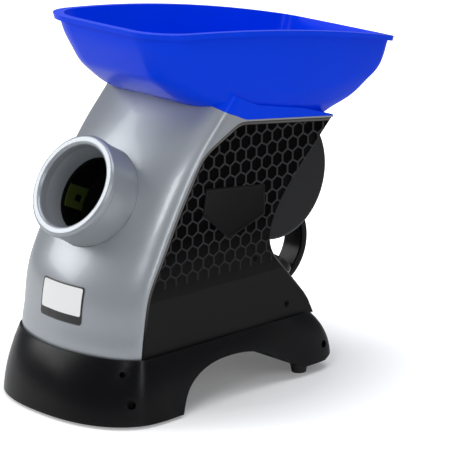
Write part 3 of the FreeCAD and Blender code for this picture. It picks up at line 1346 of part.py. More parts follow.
handle = doc.addObject("PartDesign::Body", "Handle")
ring_sketch = new_sketch(handle, "HandleRing", "YZ_Plane")
outer_r = size("handle_radius")
inner_r = outer_r - size("handle_depth")
first_angle, last_angle = math.radians(-152), math.radians(62)
ring_axis = Vector(0, 0, 1)
for radius in (outer_r, inner_r):
    circle = Part.Circle(Vector(size("handle_y"), size("handle_z"), 0), ring_axis,
                         radius)
    ring_sketch.addGeometry(Part.ArcOfCircle(circle, first_angle, last_angle), False)
for angle in (first_angle, last_angle):
    ends = [Vector(size("handle_y") + radius * math.cos(angle),
                   size("handle_z") + radius * math.sin(angle), 0)
            for radius in (inner_r, outer_r)]
    ring_sketch.addGeometry(Part.LineSegment(*ends), False)
ring_pad = handle.newObject("PartDesign::Pad", "HandlePad")
ring_pad.Profile = ring_sketch
ring_pad.setExpression("Length", "2 * Sizes.handle_half_width")
ring_pad.Midplane = True
doc.recompute()
long_edges = []
for number, edge in enumerate(ring_pad.Shape.Edges, start=1):
    if edge.Curve.TypeId == "Part::GeomCircle":
        long_edges.append("Edge%d" % number)
ring_round = handle.newObject("PartDesign::Fillet", "HandleRound")
ring_round.Base = (ring_pad, long_edges)
ring_round.setExpression("Radius", "Sizes.handle_round")
handle.Tip = ring_round
doc.recompute()
handle_shape = handle.Shape.cut(housing_outer)
handle_shape = handle_shape.cut(skirt_outer).cut(moved(region_out, 0, 0, 0))
pieces = sorted(handle_shape.Solids, key=lambda item: item.Volume)
feature("carry_handle", pieces[-1])


# ------------------------------------------------------------------- controls

switch_case = Part.makeBox(21, 29, 1.6, Vector(-10.5, -14.5, 0.0))
switch_case = switch_case.makeFillet(1.0, [edge for edge in switch_case.Edges
                                           if edge.BoundBox.ZMax > 1.5])
switch_case = switch_case.fuse(Part.makeBox(18.6, 24.6, 12,
                                            Vector(-9.3, -12.3, -12.0)))
switch_case = switch_case.cut(Part.makeBox(13.0, 21.0, 12,
                                           Vector(-6.5, -10.5, -9.0)))
switch_spot = (-size("control_x"), -6)
switch = feature("switch_housing", switch_case)
switch.Placement = on_slope(switch_case, *switch_spot).Placement
pill = Part.makeBox(12.2, 19.4, 6.0, Vector(-6.1, -9.7, -1.6))
pill = pill.fuse(Part.makeCylinder(3.6, 12.2, Vector(-6.1, 0, -1.6),
                                   Vector(1, 0, 0)))
dish = Part.makeCylinder(40, 20, Vector(-10, 0, 43.2), Vector(1, 0, 0))
pill = pill.cut(dish)
rocker = feature("power_switch", pill.removeSplitter())
rocker.Placement = on_slope(pill, *switch_spot).Placement
knob = Part.makeCone(size("dial_radius"), size("dial_radius") - 1.5, 9.0,
                     Vector(0, 0, 1.0))
top_rim = [edge for edge in knob.Edges if edge.BoundBox.ZMin > 9]
knob = knob.makeFillet(1.2, top_rim)
for number in range(12):
    groove = Part.makeCylinder(1.4, 20, Vector(size("dial_radius") + 0.3, 0, 2.5))
    groove.rotate(Vector(0, 0, 0), Vector(0, 0, 1), 30.0 * number + 15)
    knob = knob.cut(groove)
pointer = Part.makeBox(1.2, 7.0, 2, Vector(-0.6, 4.0, 9.4))
knob = knob.cut(pointer)
knob = knob.fuse(Part.makeCylinder(3.0, 9.0, Vector(0, 0, -6.0)))
dial = feature("distance_dial", knob.removeSplitter())
dial.Placement = on_slope(knob, size("control_x")).Placement
encoder = Part.makeBox(16, 16, 9, Vector(-8, -8, -2.7 - 9))
encoder = encoder.fuse(Part.makeCylinder(4.5, 3.0, Vector(0, 0, -2.8)))
encoder = encoder.cut(Part.makeCylinder(3.05, 20, Vector(0, 0, -6.5)))
dial_base = feature("dial_encoder", encoder.removeSplitter())
dial_base.Placement = on_slope(encoder, size("control_x")).Placement
jack_shape = Part.makeCylinder(6.2, 1.4)
jack_shape = jack_shape.fuse(Part.makeCylinder(4.5, 14.0, Vector(0, 0, -13.5)))
jack_shape = jack_shape.cut(Part.makeCylinder(3.0, 12, Vector(0, 0, -9.0)))
jack_shape = jack_shape.fuse(Part.makeCylinder(0.9, 9.5, Vector(0, 0, -9.5)))
jack = feature("dc_jack", jack_shape.removeSplitter())
jack.Placement = on_slope(jack_shape, -size("control_x"), 19).Placement

board_x = housing_half + plate
board = Part.makeBox(1.6, 52, 46, Vector(board_x + 5.0, -52, 130))
chips = [Part.makeBox(3.0, 10, 14, Vector(board_x + 6.5, -44, 146)),
         Part.makeBox(2.0, 14, 14, Vector(board_x + 6.5, -28, 152)),
         Part.makeBox(6.0, 10, 8, Vector(board_x + 6.5, -14, 136))]
posts = []
for y in (-47.0, -6.0):
    for z in (135.0, 171.0):
        posts.append(Part.makeCylinder(2.5, 5.1, Vector(board_x, y, z),
                                       Vector(1, 0, 0)))
board = board.fuse(chips + posts)
feature("control_board", board.removeSplitter())
hopper_screws = []
for side in (-1, 1):
    for y in (0.0, 38.0):
        low_z = chute_top_z - plate - 3.0
        shank = Part.makeCylinder(1.5, plate + 5.0, Vector(side * tab_x, y + 7, low_z))
        head = Part.makeCylinder(size("screw_head"), 1.6,
                                 Vector(side * tab_x, y + 7, low_z + 1.4))
        hopper_screws.append(shank.fuse(head).removeSplitter())
feature("hopper_screws", Part.makeCompound(hopper_screws))


# --------------------------------------------------------------------- export

doc.recompute()
for thing in doc.Objects:
    if "Invalid" in thing.State or "Error" in thing.State:
        raise RuntimeError("not built: %s %s" % (thing.Label, thing.State))
os.makedirs("parts", exist_ok=True)
for thing in parts:
    shape = thing.Shape
    if shape.isNull() or not shape.isValid() or not shape.Solids:
        raise RuntimeError("bad shape: " + thing.Label)
    shape.exportStep("parts/%s.step" % thing.Label)
    print("%-26s solids %d volume %.0f" % (thing.Label, len(shape.Solids),
                                           shape.Volume))
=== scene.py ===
import json
import math

import bmesh
import bpy
from mathutils import Matrix, Vector


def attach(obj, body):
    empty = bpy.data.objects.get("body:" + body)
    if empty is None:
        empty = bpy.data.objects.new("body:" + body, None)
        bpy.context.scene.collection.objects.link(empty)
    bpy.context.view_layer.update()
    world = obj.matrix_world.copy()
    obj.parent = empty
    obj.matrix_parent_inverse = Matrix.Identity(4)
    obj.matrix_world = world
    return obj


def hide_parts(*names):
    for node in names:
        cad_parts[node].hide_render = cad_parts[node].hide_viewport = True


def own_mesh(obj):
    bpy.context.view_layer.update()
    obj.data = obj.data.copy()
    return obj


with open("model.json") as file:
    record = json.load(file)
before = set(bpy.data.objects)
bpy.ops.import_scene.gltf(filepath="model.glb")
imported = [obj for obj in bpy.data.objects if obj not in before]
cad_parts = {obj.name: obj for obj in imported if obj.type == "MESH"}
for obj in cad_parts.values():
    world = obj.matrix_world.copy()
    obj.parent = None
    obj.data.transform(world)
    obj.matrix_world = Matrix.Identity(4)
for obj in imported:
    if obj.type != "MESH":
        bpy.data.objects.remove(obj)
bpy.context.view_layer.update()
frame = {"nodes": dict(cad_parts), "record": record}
record = frame["record"]


# ---------------------------------------------------------------- materials

MOTTLE = 0.06            # share by which a plastic's colour drifts
GLOSS_SPREAD = 0.05      # how far its roughness drifts
RUBBED = (0.52, 0.6)     # pointiness at which an edge starts and ends to look rubbed
GRAIN_DEPTH = 0.0002
STREAKS = (1.0, 1.0, 12.0)
BEVEL_NORMAL, BEVEL_MARGIN = 0.707, 0.12   # sideways lean of the panel's bevel


def new_material(name):
    material = bpy.data.materials.new(name)
    material.use_nodes = True
    nodes, links = material.node_tree.nodes, material.node_tree.links
    return material, nodes, links, nodes["Principled BSDF"]


def plastic(name, color, roughness, grain, grain_scale, coat=0.0, wear=0.0,
            shine=0.5, flake=0.0):
    # Moulded plastic: faint colour drift, uneven gloss, a fine grain and
    # lighter rubbed edges.
    material, nodes, links, shader = new_material(name)
    place = nodes.new("ShaderNodeTexCoord")
    drift = nodes.new("ShaderNodeTexNoise")
    drift.inputs["Scale"].default_value = 14.0
    drift.inputs["Detail"].default_value = 3.0
    links.new(place.outputs["Object"], drift.inputs["Vector"])
    tone = nodes.new("ShaderNodeMix")
    tone.data_type = "RGBA"
    tone.inputs[6].default_value = tuple(c * (1 - MOTTLE) for c in color) + (1,)
    tone.inputs[7].default_value = tuple(min(1, c * (1 + MOTTLE)) for c in color) + (1,)
    links.new(drift.outputs["Fac"], tone.inputs[0])
    colour = tone.outputs[2]
    if wear > 0:
        bend = nodes.new("ShaderNodeNewGeometry")
        edge = nodes.new("ShaderNodeMapRange")
        edge.inputs["From Min"].default_value = RUBBED[0]
        edge.inputs["From Max"].default_value = RUBBED[1]
        edge.inputs["To Max"].default_value = wear
        links.new(bend.outputs["Pointiness"], edge.inputs["Value"])
        rub = nodes.new("ShaderNodeMix")
        rub.data_type = "RGBA"
        rub.inputs[7].default_value = tuple(min(1, c * 1.6 + 0.03) for c in color) + (1,)
        links.new(edge.outputs["Result"], rub.inputs[0])
        links.new(colour, rub.inputs[6])
        colour = rub.outputs[2]
    links.new(colour, shader.inputs["Base Color"])
    gloss = nodes.new("ShaderNodeMapRange")
    gloss.inputs["To Min"].default_value = max(0.02, roughness - GLOSS_SPREAD)
    gloss.inputs["To Max"].default_value = roughness + GLOSS_SPREAD
    links.new(drift.outputs["Fac"], gloss.inputs["Value"])
    links.new(gloss.outputs["Result"], shader.inputs["Roughness"])
    fine = nodes.new("ShaderNodeTexNoise")
    fine.inputs["Scale"].default_value = grain_scale
    fine.inputs["Detail"].default_value = 2.0
    links.new(place.outputs["Object"], fine.inputs["Vector"])
    bump = nodes.new("ShaderNodeBump")
    bump.inputs["Strength"].default_value = grain
    bump.inputs["Distance"].default_value = GRAIN_DEPTH
    links.new(fine.outputs["Fac"], bump.inputs["Height"])
    links.new(bump.outputs["Normal"], shader.inputs["Normal"])
    shader.inputs["Coat Weight"].default_value = coat
    shader.inputs["Coat Roughness"].default_value = 0.08
    shader.inputs["Specular IOR Level"].default_value = shine
    shader.inputs["Metallic"].default_value = flake
    return material


def metal(name, color, roughness):
    # Drawn or turned metal with fine streaks.
    material, nodes, links, shader = new_material(name)
    place = nodes.new("ShaderNodeTexCoord")
    turn = nodes.new("ShaderNodeMapping")
    turn.inputs["Scale"].default_value = STREAKS
    streak = nodes.new("ShaderNodeTexNoise")
    streak.inputs["Scale"].default_value = 260.0
    links.new(place.outputs["Object"], turn.inputs["Vector"])
    links.new(turn.outputs["Vector"], streak.inputs["Vector"])
    rough = nodes.new("ShaderNodeMapRange")
    rough.inputs["To Min"].default_value = roughness - 0.08
    rough.inputs["To Max"].default_value = roughness + 0.1
    links.new(streak.outputs["Fac"], rough.inputs["Value"])
    links.new(rough.outputs["Result"], shader.inputs["Roughness"])
    tone = nodes.new("ShaderNodeMix")
    tone.data_type = "RGBA"
    tone.inputs[6].default_value = tuple(c * 0.85 for c in color) + (1,)
    tone.inputs[7].default_value = tuple(min(1, c * 1.08) for c in color) + (1,)
    links.new(streak.outputs["Fac"], tone.inputs[0])
    links.new(tone.outputs[2], shader.inputs["Base Color"])
    shader.inputs["Metallic"].default_value = 1.0
    return material


def by_height(material, low_z, high_z):
    # Value that rises from 0 to 1 between two heights of the launcher.
    nodes, links = material.node_tree.nodes, material.node_tree.links
    where = nodes.new("ShaderNodeTexCoord")
    spot = nodes.new("ShaderNodeSeparateXYZ")
    links.new(where.outputs["Object"], spot.inputs[0])
    fade = nodes.new("ShaderNodeMapRange")
    fade.inputs["From Min"].default_value = low_z
    fade.inputs["From Max"].default_value = high_z
    links.new(spot.outputs[2], fade.inputs["Value"])
    return fade


def shaded(material, fade, color):
    # Lets the base colour pass into another one as the value rises.
    nodes, links = material.node_tree.nodes, material.node_tree.links
    shader = nodes["Principled BSDF"]
    mix = nodes.new("ShaderNodeMix")
    mix.data_type = "RGBA"
    mix.inputs[7].default_value = color + (1,)
    links.new(fade, mix.inputs[0])
    links.new(shader.inputs["Base Color"].links[0].from_socket, mix.inputs[6])
    links.new(mix.outputs[2], shader.inputs["Base Color"])


def bevelled_panel(name, base, bevel_highlight):
    # Side panel: satin black face, with a painted highlight in lighter grey on
    # the bevel along its upper and front edge, fading out towards the foot.
    material = plastic(name, base, roughness=0.58, grain=0.45, grain_scale=1300,
                       shine=0.15)
    nodes, links = material.node_tree.nodes, material.node_tree.links
    face = nodes.new("ShaderNodeNewGeometry")
    parts = nodes.new("ShaderNodeSeparateXYZ")
    links.new(face.outputs["True Normal"], parts.inputs[0])
    out = nodes.new("ShaderNodeMath")
    out.operation = "ABSOLUTE"
    links.new(parts.outputs[0], out.inputs[0])
    slant = nodes.new("ShaderNodeMath")
    slant.operation = "COMPARE"
    slant.inputs[1].default_value = BEVEL_NORMAL
    slant.inputs[2].default_value = BEVEL_MARGIN
    links.new(out.outputs[0], slant.inputs[0])
    fade = by_height(material, low_z=0.08, high_z=0.16)
    share = nodes.new("ShaderNodeMath")
    share.operation = "MULTIPLY"
    links.new(slant.outputs[0], share.inputs[0])
    links.new(fade.outputs["Result"], share.inputs[1])
    shaded(material, share.outputs[0], bevel_highlight)
    return material


silver = plastic("silver_shell_plastic", (0.3, 0.322, 0.345), roughness=0.33,
                 grain=0.05, grain_scale=1400, coat=0.3, flake=0.35)
blue = plastic("blue_hopper_plastic", (0.0, 0.045, 0.76), roughness=0.24,
               grain=0.03, grain_scale=1200, shine=0.07)
black = plastic("black_base_plastic", (0.0025, 0.0025, 0.003), roughness=0.25,
                grain=0.2, grain_scale=1600, wear=0.1, shine=0.14)
# painted highlight: the panel's bevel turns lighter grey towards the top
panel_black = bevelled_panel("panel_plastic", (0.0065, 0.0065, 0.0065),
                             (0.15, 0.142, 0.134))
ribs_grey = plastic("panel_rib_plastic", (0.0055, 0.0055, 0.006), roughness=0.5,
                    grain=0.4, grain_scale=1300, shine=0.2)
# painted highlight: the ribs turn lighter grey towards the top of the panel
rib_highlight_fade = by_height(ribs_grey, low_z=0.108, high_z=0.19)
shaded(ribs_grey, rib_highlight_fade.outputs["Result"], (0.022, 0.022, 0.024))
# painted shade: the cell floors darken to near black towards the top, where the ribs stand
# tallest
cell_painted_shade = plastic("panel_cell_plastic", (0.0125, 0.0125, 0.0125), roughness=0.58,
                     grain=0.45, grain_scale=1300, shine=0.03)
cell_shade_fade = by_height(cell_painted_shade, low_z=0.11, high_z=0.165)
shaded(cell_painted_shade, cell_shade_fade.outputs["Result"], (0.0005, 0.0005, 0.0006))
drum_grey = plastic("drum_plastic", (0.008, 0.008, 0.009), roughness=0.33,
                    grain=0.3, grain_scale=1500, shine=0.24)
inner_black = plastic("inner_plastic", (0.006, 0.006, 0.006), roughness=0.5,
                      grain=0.2, grain_scale=900, shine=0.2)
natural = plastic("acetal_plastic", (0.72, 0.72, 0.68), roughness=0.35,
                  grain=0.05, grain_scale=700)
olive = plastic("striker_face_plastic", (0.045, 0.066, 0.012), roughness=0.4,
                grain=0.1, grain_scale=900, shine=0.3)
rubber = plastic("foot_rubber", (0.014, 0.014, 0.014), roughness=0.7,
                 grain=0.5, grain_scale=700)
label_white = plastic("label_plate_white", (0.78, 0.78, 0.77), roughness=0.35,
                      grain=0.05, grain_scale=900)
label_black = plastic("label_plate_black", (0.008, 0.008, 0.008), roughness=0.35,
                      grain=0.05, grain_scale=900)
steel = metal("zinc_steel", (0.62, 0.62, 0.62), roughness=0.3)
black_steel = metal("black_oxide_steel", (0.006, 0.006, 0.0065), roughness=0.42)
sheet_steel = metal("sheet_steel", (0.5, 0.5, 0.51), roughness=0.38)
brass = metal("bush_brass", (0.78, 0.6, 0.28), roughness=0.28)
nickel = metal("contact_nickel", (0.72, 0.7, 0.66), roughness=0.25)
cell_wrap = plastic("cell_wrap", (0.05, 0.05, 0.055), roughness=0.3,
                    grain=0.1, grain_scale=500)
board_green = plastic("board_green", (0.01, 0.12, 0.04), roughness=0.35,
                      grain=0.3, grain_scale=800)
mark_white = plastic("dial_mark_white", (0.7, 0.7, 0.7), roughness=0.5,
                     grain=0.05, grain_scale=900)
finish = {
    "silver_plastic": silver, "blue_plastic": blue, "black_plastic": black,
    "panel_black": panel_black, "dark_grey_plastic": drum_grey,
    "white_plastic": natural, "foot_rubber": rubber, "steel": steel,
    "plate_steel": sheet_steel, "brass": brass, "cell_wrap": cell_wrap,
    "contact_metal": nickel, "board_green": board_green}
special = {"base_screws": black_steel, "panel_screws": black_steel,
           "striker": inner_black, "launch_tube": inner_black}
slot_of = {item["node"]: item["material_slot"] for item in record["subparts"]}
for node, thing in frame["nodes"].items():
    for item in thing.material_slots:
        item.material = special.get(node, finish[slot_of[node]])


# ------------------------------------------------------------------ tools

def only(thing):
    bpy.ops.object.select_all(action="DESELECT")
    thing.select_set(True)
    bpy.context.view_layer.objects.active = thing


def edit(kind="FACE"):
    bpy.ops.object.mode_set(mode="EDIT")
    bpy.ops.mesh.select_mode(type=kind)
    bpy.ops.mesh.select_all(action="DESELECT")


def leave():
    bpy.ops.object.mode_set(mode="OBJECT")


def edit_all(thing, kind="FACE"):
    only(thing)
    edit(kind)
    bpy.ops.mesh.select_all(action="SELECT")


def turn_outward(thing):
    edit_all(thing)
    bpy.ops.mesh.normals_make_consistent(inside=False)
    leave()


def pick(thing, wanted):
    # Selects the faces whose place and normal fit.
    leave()
    for face in thing.data.polygons:
        face.select = wanted(face)
    bpy.ops.object.mode_set(mode="EDIT")


def apply_all(thing):
    only(thing)
    for modifier in list(thing.modifiers):
        bpy.ops.object.modifier_apply(modifier=modifier.name)
    bpy.ops.object.transform_apply(location=True, rotation=True, scale=True)


def join(pieces, name):
    only(pieces[0])
    for piece in pieces:
        piece.select_set(True)
    bpy.ops.object.join()
    joined = bpy.context.active_object
    joined.name = name
    bpy.ops.object.transform_apply(location=True, rotation=True, scale=True)
    return joined


def copied(thing, move):
    twin = thing.copy()
    twin.data = thing.data.copy()
    bpy.context.scene.collection.objects.link(twin)
    twin.location = thing.location + Vector(move)
    return twin


def flipped(thing, name):
    # The same piece for the other side.
    twin = copied(thing, (0, 0, 0))
    twin.name = name
    twin.scale = (-1, 1, 1)
    only(twin)
    bpy.ops.object.transform_apply(location=True, rotation=True, scale=True)
    turn_outward(twin)
    return twin


def dress(thing, material, body, angle=35):
    thing.data.materials.clear()
    thing.data.materials.append(material)
    only(thing)
    bpy.ops.object.shade_smooth_by_angle(angle=math.radians(angle))
    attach(thing, body)


# --------------------------------------------------- honeycomb on the panels

PANEL_X = 0.0828                     # outer face of the right panel
RIB = 0.0009                         # height of the ribs
RIB_TOP, RIB_SIDE = 0.00055, 0.0003  # half of a rib's flat top, and its slope
PITCH_Y, PITCH_Z = 0.0135, 0.0117
TOP_Z, LOW_Z = 0.262, 0.104
START_Y, COLUMNS = -0.166, 21
FADE_Z, FADE_HEIGHT = 0.110, 0.052   # where the ribs start to rise, and over what height
FLAT_SHARE = 0.02                    # share of a rib's height that stays below that
COMB_DEPTH = 0.0014
COMB_FOOT = 0.112
FIELD_MARGIN = 0.0007
CUT_REACH = 0.004                    # of a cutter, to both sides of the panel's face
row_count = int((TOP_Z - LOW_Z) / PITCH_Z) + 2
cells = []
bpy.ops.mesh.primitive_circle_add(vertices=6, radius=PITCH_Y / math.sqrt(3.0),
                                  fill_type="NGON", location=(0, 0, 0),
                                  rotation=(math.pi / 2, 0, math.pi / 2))
cell = bpy.context.active_object
cell.name = "panel_cell"
bpy.ops.object.transform_apply(location=True, rotation=True, scale=True)
edit_all(cell)
bpy.ops.mesh.normals_make_consistent(inside=False)
bpy.ops.mesh.inset(thickness=RIB_TOP, depth=0)
bpy.ops.mesh.inset(thickness=RIB_SIDE, depth=0)
leave()
floor_face = min(cell.data.polygons, key=lambda face: sum(
    (cell.data.vertices[i].co.length for i in face.vertices)) / len(face.vertices))
floor_points = set(floor_face.vertices)
for vertex in cell.data.vertices:
    vertex.co.x = 0.0 if vertex.index in floor_points else RIB
edit_all(cell)
bpy.ops.mesh.flip_normals()
leave()
for row in range(row_count):
    z = TOP_Z + 0.004 - row * PITCH_Z
    shift = 0.5 * PITCH_Y if row % 2 else 0.0
    for column in range(COLUMNS):
        y = START_Y + shift + column * PITCH_Y
        cells.append(copied(cell, (PANEL_X + 0.00005, y, z)))
bpy.data.objects.remove(cell)
comb = join(cells, "honeycomb_right")
edit_all(comb, "VERT")
bpy.ops.mesh.remove_doubles(threshold=0.00004)
leave()
for vertex in comb.data.vertices:
    height = vertex.co.x - PANEL_X
    rise = min(1.0, max(0.0, (vertex.co.z - FADE_Z) / FADE_HEIGHT))
    rise = rise * rise * (3 - 2 * rise)
    vertex.co.x = PANEL_X + 0.00003 + height * (FLAT_SHARE + 0.98 * rise)
only(comb)
wall = comb.modifiers.new("wall", "SOLIDIFY")
wall.thickness = COMB_DEPTH
wall.offset = -1
apply_all(comb)


def outline_solid(name, points, low_x, high_x):
    # Flat piece whose side view is a row of (y, z) points.
    mesh = bpy.data.meshes.new(name)
    shape = bmesh.new()
    ring = [shape.verts.new((low_x, y, z)) for y, z in points]
    face = shape.faces.new(ring)
    grown = bmesh.ops.extrude_face_region(shape, geom=[face])
    tops = [item for item in grown["geom"] if isinstance(item, bmesh.types.BMVert)]
    bmesh.ops.translate(shape, verts=tops, vec=(high_x - low_x, 0, 0))
    bmesh.ops.recalc_face_normals(shape, faces=shape.faces)
    shape.to_mesh(mesh)
    shape.free()
    thing = bpy.data.objects.new(name, mesh)
    bpy.context.scene.collection.objects.link(thing)
    return thing


def trimmed(thing, cutter, way):
    trim = thing.modifiers.new("trim", "BOOLEAN")
    trim.operation = way
    trim.solver = "EXACT"
    trim.object = cutter
    apply_all(thing)
    bpy.data.objects.remove(cutter)


# Edge of the raised field: the panel outline inside its bevel.
panel_node = frame["nodes"]["right_side_panel"]
field = copied(panel_node, (0, 0, 0))
field.parent = None
field.matrix_world = Matrix.Identity(4)
field.name = "field_outline"
edit_all(field)
bpy.ops.mesh.remove_doubles(threshold=0.00001)
pick(field, lambda face: not (face.normal.x > 0.99
                              and face.center.x > PANEL_X - 0.0003))
bpy.ops.mesh.delete(type="FACE")
bpy.ops.mesh.select_all(action="SELECT")
bpy.ops.mesh.inset(thickness=FIELD_MARGIN, depth=0)
bpy.ops.mesh.select_all(action="INVERT")
bpy.ops.mesh.delete(type="FACE")
bpy.ops.mesh.select_all(action="SELECT")
bpy.ops.transform.translate(value=(-0.0005, 0, 0))
bpy.ops.mesh.extrude_region_move(TRANSFORM_OT_translate={"value": (0.003, 0, 0)})
bpy.ops.mesh.select_all(action="SELECT")
bpy.ops.mesh.normals_make_consistent(inside=False)
leave()
trimmed(comb, field, "INTERSECT")
above_foot = [(-0.2, COMB_FOOT), (0.12, COMB_FOOT), (0.12, 0.3), (-0.2, 0.3)]
low_cut = outline_solid("low_cut", above_foot, PANEL_X - CUT_REACH, PANEL_X + CUT_REACH)
trimmed(comb, low_cut, "INTERSECT")
BADGE = [(-0.0726, 0.1828), (-0.0398, 0.1544), (0.0066, 0.1694), (0.0064, 0.1985),
         (-0.0688, 0.2076)]
badge_room = outline_solid("badge_room", BADGE, PANEL_X - CUT_REACH, PANEL_X + CUT_REACH)
trimmed(comb, badge_room, "DIFFERENCE")
dress(comb, ribs_grey, "launcher_body", 25)
comb.data.materials.append(cell_painted_shade)
for face in comb.data.polygons:
    if face.normal.x > 0.9 and face.center.x < PANEL_X + 0.00025:
        face.material_index = 1
other = flipped(comb, "honeycomb_left")
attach(other, "launcher_body")

# ------------------------------------------------- bare badge on each panel

badge = outline_solid("badge_right", BADGE, PANEL_X + 0.0001, PANEL_X + 0.0013)
only(badge)
pick(badge, lambda face: face.normal.x > 0.9)
bpy.ops.mesh.inset(thickness=0.0022, depth=0)
bpy.ops.mesh.inset(thickness=0.0006, depth=-0.0006)
leave()
soft = badge.modifiers.new("soft", "BEVEL")
soft.width = 0.0004
soft.segments = 2
soft.limit_method = "ANGLE"
apply_all(badge)
badge_black = plastic("badge_plastic", (0.002, 0.002, 0.0022), roughness=0.4,
                      grain=0.3, grain_scale=1200, shine=0.12)
dress(badge, badge_black, "launcher_body")
other = flipped(badge, "badge_left")
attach(other, "launcher_body")

# ---------------------------------------------------- plain plate on the nose

shell_node = frame["nodes"]["front_shell"]


def on_nose(x, z):
    # Place of the shell's skin ahead of a point, and its outward direction.
    found = shell_node.ray_cast(Vector((x, -0.4, z)), Vector((0, 1, 0)))
    return found[1], found[2]


def nose_plate(name, half, low, high, corner, lift, thick):
    # Thin plate that follows the nose of the shell.
    bpy.ops.mesh.primitive_plane_add(size=1, location=(0, 0, 0), rotation=(math.pi / 2, 0, 0))
    plate = bpy.context.active_object
    plate.name = name
    plate.scale = (2 * half, high - low, 1)
    bpy.ops.object.transform_apply(location=True, rotation=True, scale=True)
    edit_all(plate, "VERT")
    bpy.ops.mesh.bevel(offset=corner, segments=6, affect="VERTICES")
    leave()
    shape = bmesh.new()
    shape.from_mesh(plate.data)
    steps = [(Vector((x / 1000.0, 0, 0)), Vector((1, 0, 0))) for x in range(-30, 31, 2)]
    steps += [(Vector((0, 0, z / 1000.0)), Vector((0, 0, 1))) for z in range(-20, 21, 2)]
    for at, way in steps:
        everything = shape.verts[:] + shape.edges[:] + shape.faces[:]
        bmesh.ops.bisect_plane(shape, geom=everything, plane_co=at, plane_no=way)
    middle = 0.5 * (low + high)
    for vertex in shape.verts:
        spot, normal = on_nose(vertex.co.x, middle + vertex.co.z)
        vertex.co = spot + normal * lift
    shape.to_mesh(plate.data)
    shape.free()
    turn_outward(plate)
    skin = plate.modifiers.new("skin", "SOLIDIFY")
    skin.thickness = thick
    skin.offset = 1
    edge = plate.modifiers.new("edge", "BEVEL")
    edge.width = 0.00012
    edge.segments = 2
    edge.limit_method = "ANGLE"
    apply_all(plate)
    return plate


label_base = nose_plate("nose_plate_back", half=0.0285, low=0.0865, high=0.1217,
                        corner=0.003, lift=0.0001, thick=0.0004)
dress(label_base, label_black, "launcher_body")
label_face = nose_plate("nose_plate_face", half=0.0268, low=0.0945, high=0.1202,
                        corner=0.002, lift=0.00045, thick=0.0002)
dress(label_face, label_white, "launcher_body")

# ------------------------------------------------ guide window in the barrel

WINDOW_RADIUS, WINDOW_FROM, WINDOW_LENGTH = 0.0353, 0.0305, 0.0235
SHADE_FROM, SHADE_RADIUS = 0.0262, 0.0405    # inside of the barrel that carries painted shade, near black
tilt = math.radians(31.0)                  # of the launch line
mouth = Vector((0, -0.1578, 0.2117))
line_way = Vector((0, math.cos(tilt), -math.sin(tilt)))
line_up = Vector((0, math.sin(tilt), math.cos(tilt)))


def in_barrel(radius, degrees, along):
    turn = math.radians(degrees)
    return (mouth + Vector((1, 0, 0)) * radius * math.cos(turn)
            + line_up * radius * math.sin(turn) + line_way * along)


bpy.ops.mesh.primitive_grid_add(x_subdivisions=12, y_subdivisions=14, size=1)
window = bpy.context.active_object
window.name = "barrel_window"
pick(window, lambda face: -0.02 < face.center.x < 0.32 and -0.16 < face.center.y < 0.16)
bpy.ops.mesh.delete(type="FACE")
leave()
for vertex in window.data.vertices:
    across, along = vertex.co.x + 0.5, vertex.co.y
    bearing = 184.0 - 36.0 * along + 5.0 * (1 - across)
    vertex.co = in_barrel(WINDOW_RADIUS, bearing, WINDOW_FROM + WINDOW_LENGTH * across)
skin = window.modifiers.new("skin", "SOLIDIFY")
skin.thickness = 0.0007
skin.offset = 0
edge = window.modifiers.new("edge", "BEVEL")
edge.width = 0.0001
edge.segments = 2
edge.limit_method = "ANGLE"
apply_all(window)
turn_outward(window)
dress(window, olive, "launcher_body")

# --------------------------------------------------- marks round the dial

slope_way = Vector((0, 0.6622, -0.7493))
slope_out = Vector((0, 0.7493, 0.6622))
dial_spot = Vector((0.060, 0.043, 0.1025))


def slope_bar(name, length, width, height, reach, degrees, seat):
    # Small raised bar on the rear slope, pointing at the axis of the dial.
    bpy.ops.mesh.primitive_cube_add(size=1, location=(0, 0, 0))
    bar = bpy.context.active_object
    bar.name = name
    bar.scale = (width, length, height)
    bpy.ops.object.transform_apply(location=True, rotation=True, scale=True)
    edit_all(bar, "EDGE")
    bpy.ops.mesh.bevel(offset=min(width, height) * 0.22, segments=3)
    leave()
    turn = math.radians(degrees)
    out = Vector((1, 0, 0)) * math.sin(turn) - slope_way * math.cos(turn)
    side = out.cross(slope_out)
    place = Matrix((side, out, slope_out)).transposed().to_4x4()
    place.translation = dial_spot + out * reach + slope_out * seat
    bar.data.transform(place)
    return bar


MARKS, FIRST_MARK, MARK_STEP = 11, -135, 27
MARK_RING = 0.0172
bars = []
for step in range(MARKS):
    degrees = FIRST_MARK + MARK_STEP * step
    length = 0.0022 + 0.00022 * step
    bars.append(slope_bar("dial_mark", length, width=0.0009, height=0.0005,
                          reach=MARK_RING + 0.5 * length, degrees=degrees, seat=0.0002))
marks = join(bars, "dial_marks")
dress(marks, mark_white, "launcher_body")
dial_node = frame["nodes"]["distance_dial"]
start = dial_spot + slope_out * 0.06
dial_top = (dial_node.ray_cast(start, -slope_out)[1] - dial_spot).dot(slope_out)
pointer = slope_bar("dial_pointer", length=0.009, width=0.0011, height=0.0007,
                    reach=0.0065, degrees=FIRST_MARK, seat=dial_top + 0.0002)
dress(pointer, mark_white, "dial_knob")


# --------------------------------- launch spring, copied into a coil of its own

spring_node = frame["nodes"]["launch_spring"]
coil = copied(spring_node, (0, 0, 0))
coil.parent = None
coil.matrix_world = Matrix.Identity(4)
coil.name = "launch_coil"
dress(coil, steel, "launcher_body")
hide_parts("launch_spring")
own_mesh(coil)
